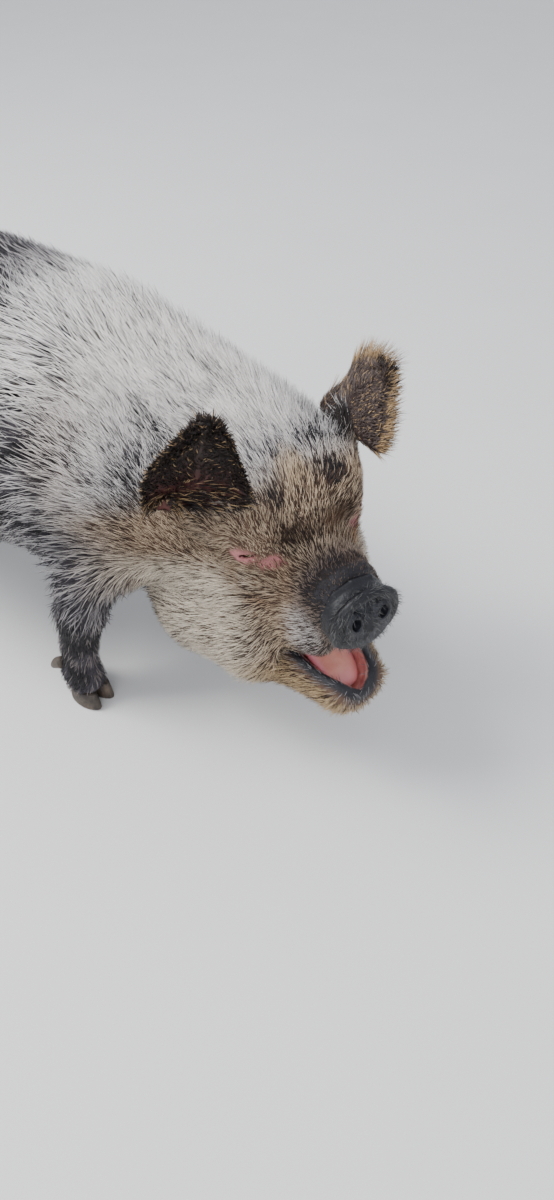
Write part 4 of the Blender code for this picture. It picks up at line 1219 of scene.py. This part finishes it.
def claw_pieces():
    """Each claw: level sections of an upright oval, wider and further forward at the sole, closed flat
    below."""
    material = horn_material()
    for end, (x, y) in (("front", FORE_FOOT), ("hind", HIND_FOOT)):
        for name, side in (("left", 1), ("right", -1)):
            for place, inner in (("outer", side), ("inner", -side)):
                z = np.linspace(0.0, HOOF_TOP - 0.0004, 16)
                share = z / HOOF_TOP
                k = np.sqrt(1 - ((z - 0.006) / 0.056) ** 2)
                k = k * (1 - 0.10 * ease(0.10, 0.0, share))
                a = np.linspace(0, 2 * math.pi, 40, endpoint=False)
                wide = 0.0138 * k[:, None] * np.sign(np.cos(a)) * np.abs(np.cos(a)) ** 0.85
                long = 0.0285 * k[:, None] * np.sin(a)
                toe = 1 - 0.30 * np.clip(-np.sin(a), 0, 1)[None] ** 2
                ahead = -0.0030 * (1 - share)[:, None] * np.clip(-np.sin(a), 0, 1)[None]
                rows = np.stack([side * x + inner * CLAW_OUT + wide * toe, y - CLAW_AHEAD + long + ahead,
                                 z[:, None] + 0.0 * wide], -1)
                made, around = tube(rows)
                title = end + "_" + name + "_" + place
                piece = outward(mesh_object("claw_" + title, made + MOVED, around))
                edge = piece.modifiers.new("worn_edge", "BEVEL")
                edge.width = 0.0012
                edge.segments = 2
                edge.limit_method = "ANGLE"
                edge.angle_limit = math.radians(50)
                piece.data.materials.append(material)
                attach(piece, "root")
                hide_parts("hoof_" + title)
                spur(title, side * x + inner * 0.017, y, material)


def spur(title, x, y, material):
    """A dewclaw: a blunt cone along a short bent line behind the foot."""
    path = smooth_path([(x, y + 0.018, 0.078), (x, y + 0.035, 0.066), (x, y + 0.049, 0.050)], 14)
    radius = np.interp(np.linspace(0, 1, 14), [0, 0.5, 0.85, 1.0], [0.0108, 0.0092, 0.0062, 0.0022])
    a = np.linspace(0, 2 * math.pi, 24, endpoint=False)
    rows = path[:, None] + radius[:, None, None] * (np.cos(a)[:, None] * np.array([1.0, 0, 0])
                                                    + np.sin(a)[:, None] * np.array([0, 0.62, 0.78]))[None]
    made, around = tube(rows)
    piece = outward(mesh_object("spur_" + title, made + MOVED, around))
    piece.data.materials.append(material)
    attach(piece, "root")
    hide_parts("dewclaw_" + title)


# Each ear: its base and tip in the head's frame, which way its hollow faces, and its scale. The edges are
# places across the ear at shares of the way from base to tip.
LEFT_EAR = ((0.1185, -0.0350, 0.1130), (0.1195, -0.0960, 0.2190), (0.92, -0.39, 0.04), 1.05)
RIGHT_EAR = ((0.1000, -0.0525, 0.1120), (0.1080, -0.1240, 0.2660), (0.52, -0.67, -0.54), 1.0)
EAR_FOOT = -0.16
EAR_INNER = ((EAR_FOOT, 0.052), (-0.02, 0.036), (0.05, 0.008), (0.11, -0.025), (0.24, -0.050), (0.52, -0.044),
             (0.83, -0.030), (0.97, -0.017), (1.00, -0.010))
EAR_OUTER = ((EAR_FOOT, 0.066), (0.09, 0.075), (0.34, 0.070), (0.52, 0.059), (0.77, 0.027), (0.91, 0.009),
             (1.00, -0.007))
EAR_THICK = 0.0052
EAR_TUFTS = 8600
TAIL_TUFTS = 3000
BRISTLES = 900


def ear_frame(base, tip, face):
    """The directions of an ear's leaf: up to the tip, across it and out of its hollow side, and its
    reach."""
    base, tip, face = (np.array(point) for point in (base, tip, face))
    reach = np.linalg.norm(tip - base)
    up = (tip - base) / reach
    face = face - up * (face @ up)
    face /= np.linalg.norm(face)
    across = np.cross(face, up)
    return base, up, -across if across[0] < 0 else across, face, reach


def ear_leaf(corners, side, u, v, out):
    """A place on an ear, from -1 to 1 across and 0 to 1 up it, out from the middle of its thickness: the
    leaf runs from its inner to its outer edge, its edges curled towards the hollow side by the square of
    u where it is wide, its tip bent forward and its foot sunk into the head."""
    *ends, scale = corners
    base, up, across, face, reach = ear_frame(*ends)
    inner, outer = (scale * np.interp(v, *zip(*edge)) for edge in (EAR_INNER, EAR_OUTER))
    beside = (inner + outer) / 2 + u * (outer - inner) / 2 + 0.010 * v
    cup = 0.030 * (1.0 - 0.55 * np.clip(v, 0, None)) * (u * u - 0.35) * np.clip((outer - inner) / 0.09, 0, 1)
    cup = cup + 0.016 * v * v - 0.016 * ease(0.20, EAR_FOOT, v)
    flute = 0.0022 * np.sin(7.0 * u + 5.0 * v) * ease(0.1, 0.6, v)
    made = base + (v * reach)[..., None] * up + beside[..., None] * across
    made = made + (cup + out + flute)[..., None] * face
    return from_head(made * np.array([side, 1, 1]))


def ear_piece(name, side, corners, material, hair, fringe):
    """One ear: a closed leaf with a rounded rim, and its hair: short outside, longer in the hollow, and a
    fringe round the rim. The fringe gives its length, its share of pale hairs, that share on the ear's
    back, and how grey the back is."""
    n, m = 56, 64
    v = np.linspace(EAR_FOOT, 1.0, n)[:, None] + np.zeros(m)
    a = np.linspace(0, 2 * math.pi, m, endpoint=False)[None] + np.zeros((n, 1))
    u = np.sign(np.cos(a)) * np.abs(np.cos(a)) ** 0.75
    thick = EAR_THICK * np.interp(v, [EAR_FOOT, 0.15, 0.9, 1.0], [0.6, 1.2, 0.7, 0.25])
    rows = ear_leaf(corners, side, u, v, 0.5 * thick * np.sin(a))
    made, around = tube(rows)
    piece = outward(mesh_object("ear_skin_" + name, made + MOVED, around))
    hollow = np.append((ease(0.2, 0.9, np.sin(a)) * ease(0.55, 0.10, v)).reshape(-1), [0, 0])
    add_number(piece, "hollow", hollow)
    piece.data.materials.append(material)
    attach(piece, "root")
    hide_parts("ear_" + name)
    count = EAR_TUFTS
    inward = rng.random(count) < 0.42
    rim = rng.random(count) < 0.20
    ru = np.where(rim, np.sign(rng.random(count) - 0.5) * rng.uniform(0.90, 1.0, count),
                  rng.uniform(-0.97, 0.97, count))
    rv = EAR_FOOT + 0.01 + (0.975 - EAR_FOOT) * rng.random(count) ** 0.85
    facing = np.where(inward, 1.0, -1.0)
    step = 0.004
    at = ear_leaf(corners, side, ru, rv, 0.3 * EAR_THICK * facing)
    towards_tip = ear_leaf(corners, side, ru, rv + step, 0.3 * EAR_THICK * facing) - at
    outwards = ear_leaf(corners, side, np.where(ru > 0, ru + step, ru - step), rv,
                        0.3 * EAR_THICK * facing) - at
    tip_way = towards_tip / np.linalg.norm(towards_tip, axis=1)[:, None]
    rim_way = outwards / np.linalg.norm(outwards, axis=1)[:, None]
    n_way = np.cross(tip_way, rim_way)
    n_way /= np.linalg.norm(n_way, axis=1)[:, None]
    check = ear_leaf(corners, side, ru, rv, 0.3 * EAR_THICK * facing + 0.001 * facing) - at
    n_way *= np.sign(np.sum(n_way * check, axis=1))[:, None]
    spread = np.where(rim, 1.15, 0.35 + 0.55 * np.abs(ru)) + rng.normal(0, 0.22, count)
    way = tip_way + rim_way * spread[:, None] + rng.normal(0, 0.16, (count, 3))
    way -= n_way * np.sum(way * n_way, axis=1)[:, None]
    way /= np.linalg.norm(way, axis=1)[:, None]
    deep = np.where(inward, 0.018 + 0.012 * ease(0.45, 0.05, rv), 0.0125)
    size = np.where(rim, np.where(ru > 0, fringe[0], 0.7 * fringe[0]), deep) * rng.uniform(0.65, 1.35, count)
    wide = np.where(rim, 0.0011, 0.0016) * rng.uniform(0.7, 1.25, count)
    rise = np.where(rim, 0.15, np.where(inward, 0.24, 0.14)) + rng.uniform(-0.05, 0.12, count)
    dark_tone = blend(np.tile(UMBER, (count, 1)), BLACK, rng.random(count) * 0.8)
    dark_tone = blend(dark_tone, MUSHROOM, np.where(inward, 0.05, fringe[3]) * rng.uniform(0.4, 1.0, count))
    pale_share = np.where(rim, fringe[1], np.where(inward, 0.05 + 0.18 * ease(0.35, 0.0, rv), fringe[2]))
    pale = blend(np.tile(BLOND, (count, 1)), TAN, rng.random(count))
    tint = np.where((rng.random(count) < pale_share)[:, None], pale, dark_tone)
    tint = tint * rng.uniform(0.7, 1.2, count)[:, None]
    places = np.stack([ru + np.where(inward, 0.0, 2.2), rv * 2.0], 1)
    coat = coat_piece("ear_hair_" + name, at, n_way, way, (size, wide, rise), tint, places, hair, rng)


def tail_piece(hide, hair):
    """The thin tail: round sections along a bent line, with its own hair and a tuft at the end."""
    line = smooth_path([(0, 0.555, 0.490), (0, 0.600, 0.455), (0.006, 0.621, 0.395), (0.014, 0.621, 0.335),
                        (0.010, 0.611, 0.288)], 48)
    radius = np.interp(np.linspace(0, 1, 48), [0, 0.25, 0.5, 0.75, 0.95, 1.0],
                       [0.0230, 0.0165, 0.0125, 0.0100, 0.0080, 0.0030])
    along = np.gradient(line, axis=0)
    along /= np.linalg.norm(along, axis=1)[:, None]
    beside = np.cross(along, np.array([1.0, 0.0, 0.0]))
    beside /= np.linalg.norm(beside, axis=1)[:, None]
    other = np.cross(along, beside)
    a = np.linspace(0, 2 * math.pi, 28, endpoint=False)
    rows = line[:, None] + radius[:, None, None] * (np.cos(a)[None, :, None] * beside[:, None]
                                                    + np.sin(a)[None, :, None] * other[:, None])
    made, around = tube(rows)
    piece = outward(mesh_object("tail_skin", made + MOVED, around))
    for title, value in (("lips", 0.0), ("mouth", 0.0)):
        add_number(piece, title, np.full(len(made), value))
    add_colour(piece, "hide_colour", np.tile(HIDE_GREY, (len(made), 1)))
    piece.data.materials.append(hide)
    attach(piece, "root")
    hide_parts("tail")
    count = TAIL_TUFTS
    t = np.where(rng.random(count) < 0.45, rng.uniform(0.80, 0.99, count), rng.uniform(0.02, 0.99, count))
    k = np.minimum((t * 47).astype(int), 46)
    angle = rng.uniform(0, 2 * math.pi, count)
    out = np.cos(angle)[:, None] * beside[k] + np.sin(angle)[:, None] * other[k]
    at = line[k] + (t * 47 - k)[:, None] * (line[k + 1] - line[k]) + out * radius[k][:, None] * 0.96
    way = along[k] + rng.normal(0, 0.12, (count, 3))
    way -= out * np.sum(way * out, axis=1)[:, None]
    way /= np.linalg.norm(way, axis=1)[:, None]
    size = np.interp(t, [0, 0.5, 0.8, 1.0], [0.024, 0.024, 0.052, 0.060]) * rng.uniform(0.7, 1.2, count)
    wide = 0.0019 * rng.uniform(0.7, 1.2, count)
    rise = 0.12 + rng.uniform(-0.04, 0.12, count)
    pale, dark_tone = np.tile(GREY, (count, 1)), np.tile(SLATE, (count, 1))
    tint = hair_colours(pale, dark_tone, np.full(count, 0.40), rng)
    coat = coat_piece("tail_hair", at, out, way, (size, wide, rise), tint,
                      np.stack([angle / 6.3, t], 1), hair, rng)


def bristle_piece(at, hair):
    """Fine grey bristles on the snout disc, standing out and lying down and outwards."""
    front = at[(at[:, 1] < -0.2050)]
    count = BRISTLES
    chosen = front[rng.integers(0, len(front), count)]
    chosen = chosen[nostril(chosen) > 0.001]
    count = len(chosen)
    normal = slope(disc, chosen) @ HEAD_TURN.T
    local_way = np.stack([0.6 * np.sign(chosen[:, 0]) + rng.normal(0, 0.6, count),
                          rng.normal(0, 0.2, count) - 0.2,
                          -0.9 + rng.normal(0, 0.5, count)], 1)
    way = local_way @ HEAD_TURN.T
    way -= normal * np.sum(way * normal, axis=1)[:, None]
    way /= np.linalg.norm(way, axis=1)[:, None]
    size = rng.uniform(0.006, 0.012, count)
    wide = rng.uniform(0.00045, 0.0008, count)
    rise = rng.uniform(0.25, 0.65, count)
    tint = tone(128, 128, 126) * rng.uniform(0.15, 1.05, count)[:, None]
    places = np.stack([chosen[:, 0], chosen[:, 2]], 1)
    coat = coat_piece("snout_bristles", from_head(chosen), normal, way, (size, wide, rise), tint,
                      places, hair, rng,
                      rings=2)


disc_points = disc_piece()
bristle_piece(disc_points, HAIR)
tongue_piece()
eye_pieces()
claw_pieces()
EAR = ear_material()
ear_piece("left", 1, LEFT_EAR, EAR, HAIR, (0.030, 0.80, 0.12, 0.75))
ear_piece("right", -1, RIGHT_EAR, EAR, HAIR, (0.010, 0.20, 0.06, 0.15))
tail_piece(HIDE, HAIR)


def set_stage():
    """A pale floor, a soft sky, a large soft key light and a fill, and the camera where the photo was
    taken."""
    floor = mesh_object("floor", np.array([[-30, -30, 0], [30, -30, 0], [30, 30, 0], [-30, 30, 0]], float),
                        np.array([[0, 1, 2, 3]]), smooth=False)
    floor.data.materials.append(floor_material())
    world = bpy.data.worlds.new("sky")
    world.use_nodes = True
    world.node_tree.nodes["Background"].inputs["Color"].default_value = (0.86, 0.90, 1.0, 1.0)
    world.node_tree.nodes["Background"].inputs["Strength"].default_value = 1.0
    bpy.context.scene.world = world
    for name, place, target, size, power in (
        ("key", (-1.2, 1.6, 3.4), (0, -0.1, 0.3), 1.8, 190.0),
        ("fill", (-2.8, -2.6, 2.2), (0, -0.3, 0.3), 2.6, 60.0),
    ):
        data = bpy.data.lights.new(name, "AREA")
        data.size = size
        data.energy = power
        lamp = bpy.data.objects.new(name, data)
        bpy.context.scene.collection.objects.link(lamp)
        aim_at(lamp, place, np.array(target) - np.array(place))
    data = bpy.data.cameras.new("camera")
    data.lens = CAMERA_LENS_MM
    data.sensor_width = SENSOR_MM
    data.clip_start = 0.01
    camera = bpy.data.objects.new("camera", data)
    bpy.context.scene.collection.objects.link(camera)
    heading, down = math.radians(CAMERA_HEADING_DEG), math.radians(CAMERA_DOWN_DEG)
    view = np.array([math.cos(heading + math.pi / 2) * math.cos(down),
                     math.sin(heading + math.pi / 2) * math.cos(down),
                     -math.sin(down)])
    aim_at(camera, np.array(CAMERA_AT) + MOVED, view)
    bpy.context.scene.camera = camera


def aim_at(obj, place, way):
    """An object put at a place, looking along a direction with its top upwards."""
    back = -np.array(way, float) / np.linalg.norm(way)
    right = np.cross([0.0, 0.0, 1.0], back)
    right /= np.linalg.norm(right)
    up = np.cross(back, right)
    matrix = np.eye(4)
    matrix[:3, 0], matrix[:3, 1], matrix[:3, 2], matrix[:3, 3] = right, up, back, place
    obj.matrix_world = Matrix(matrix.tolist())


set_stage()


bpy.context.view_layer.update()
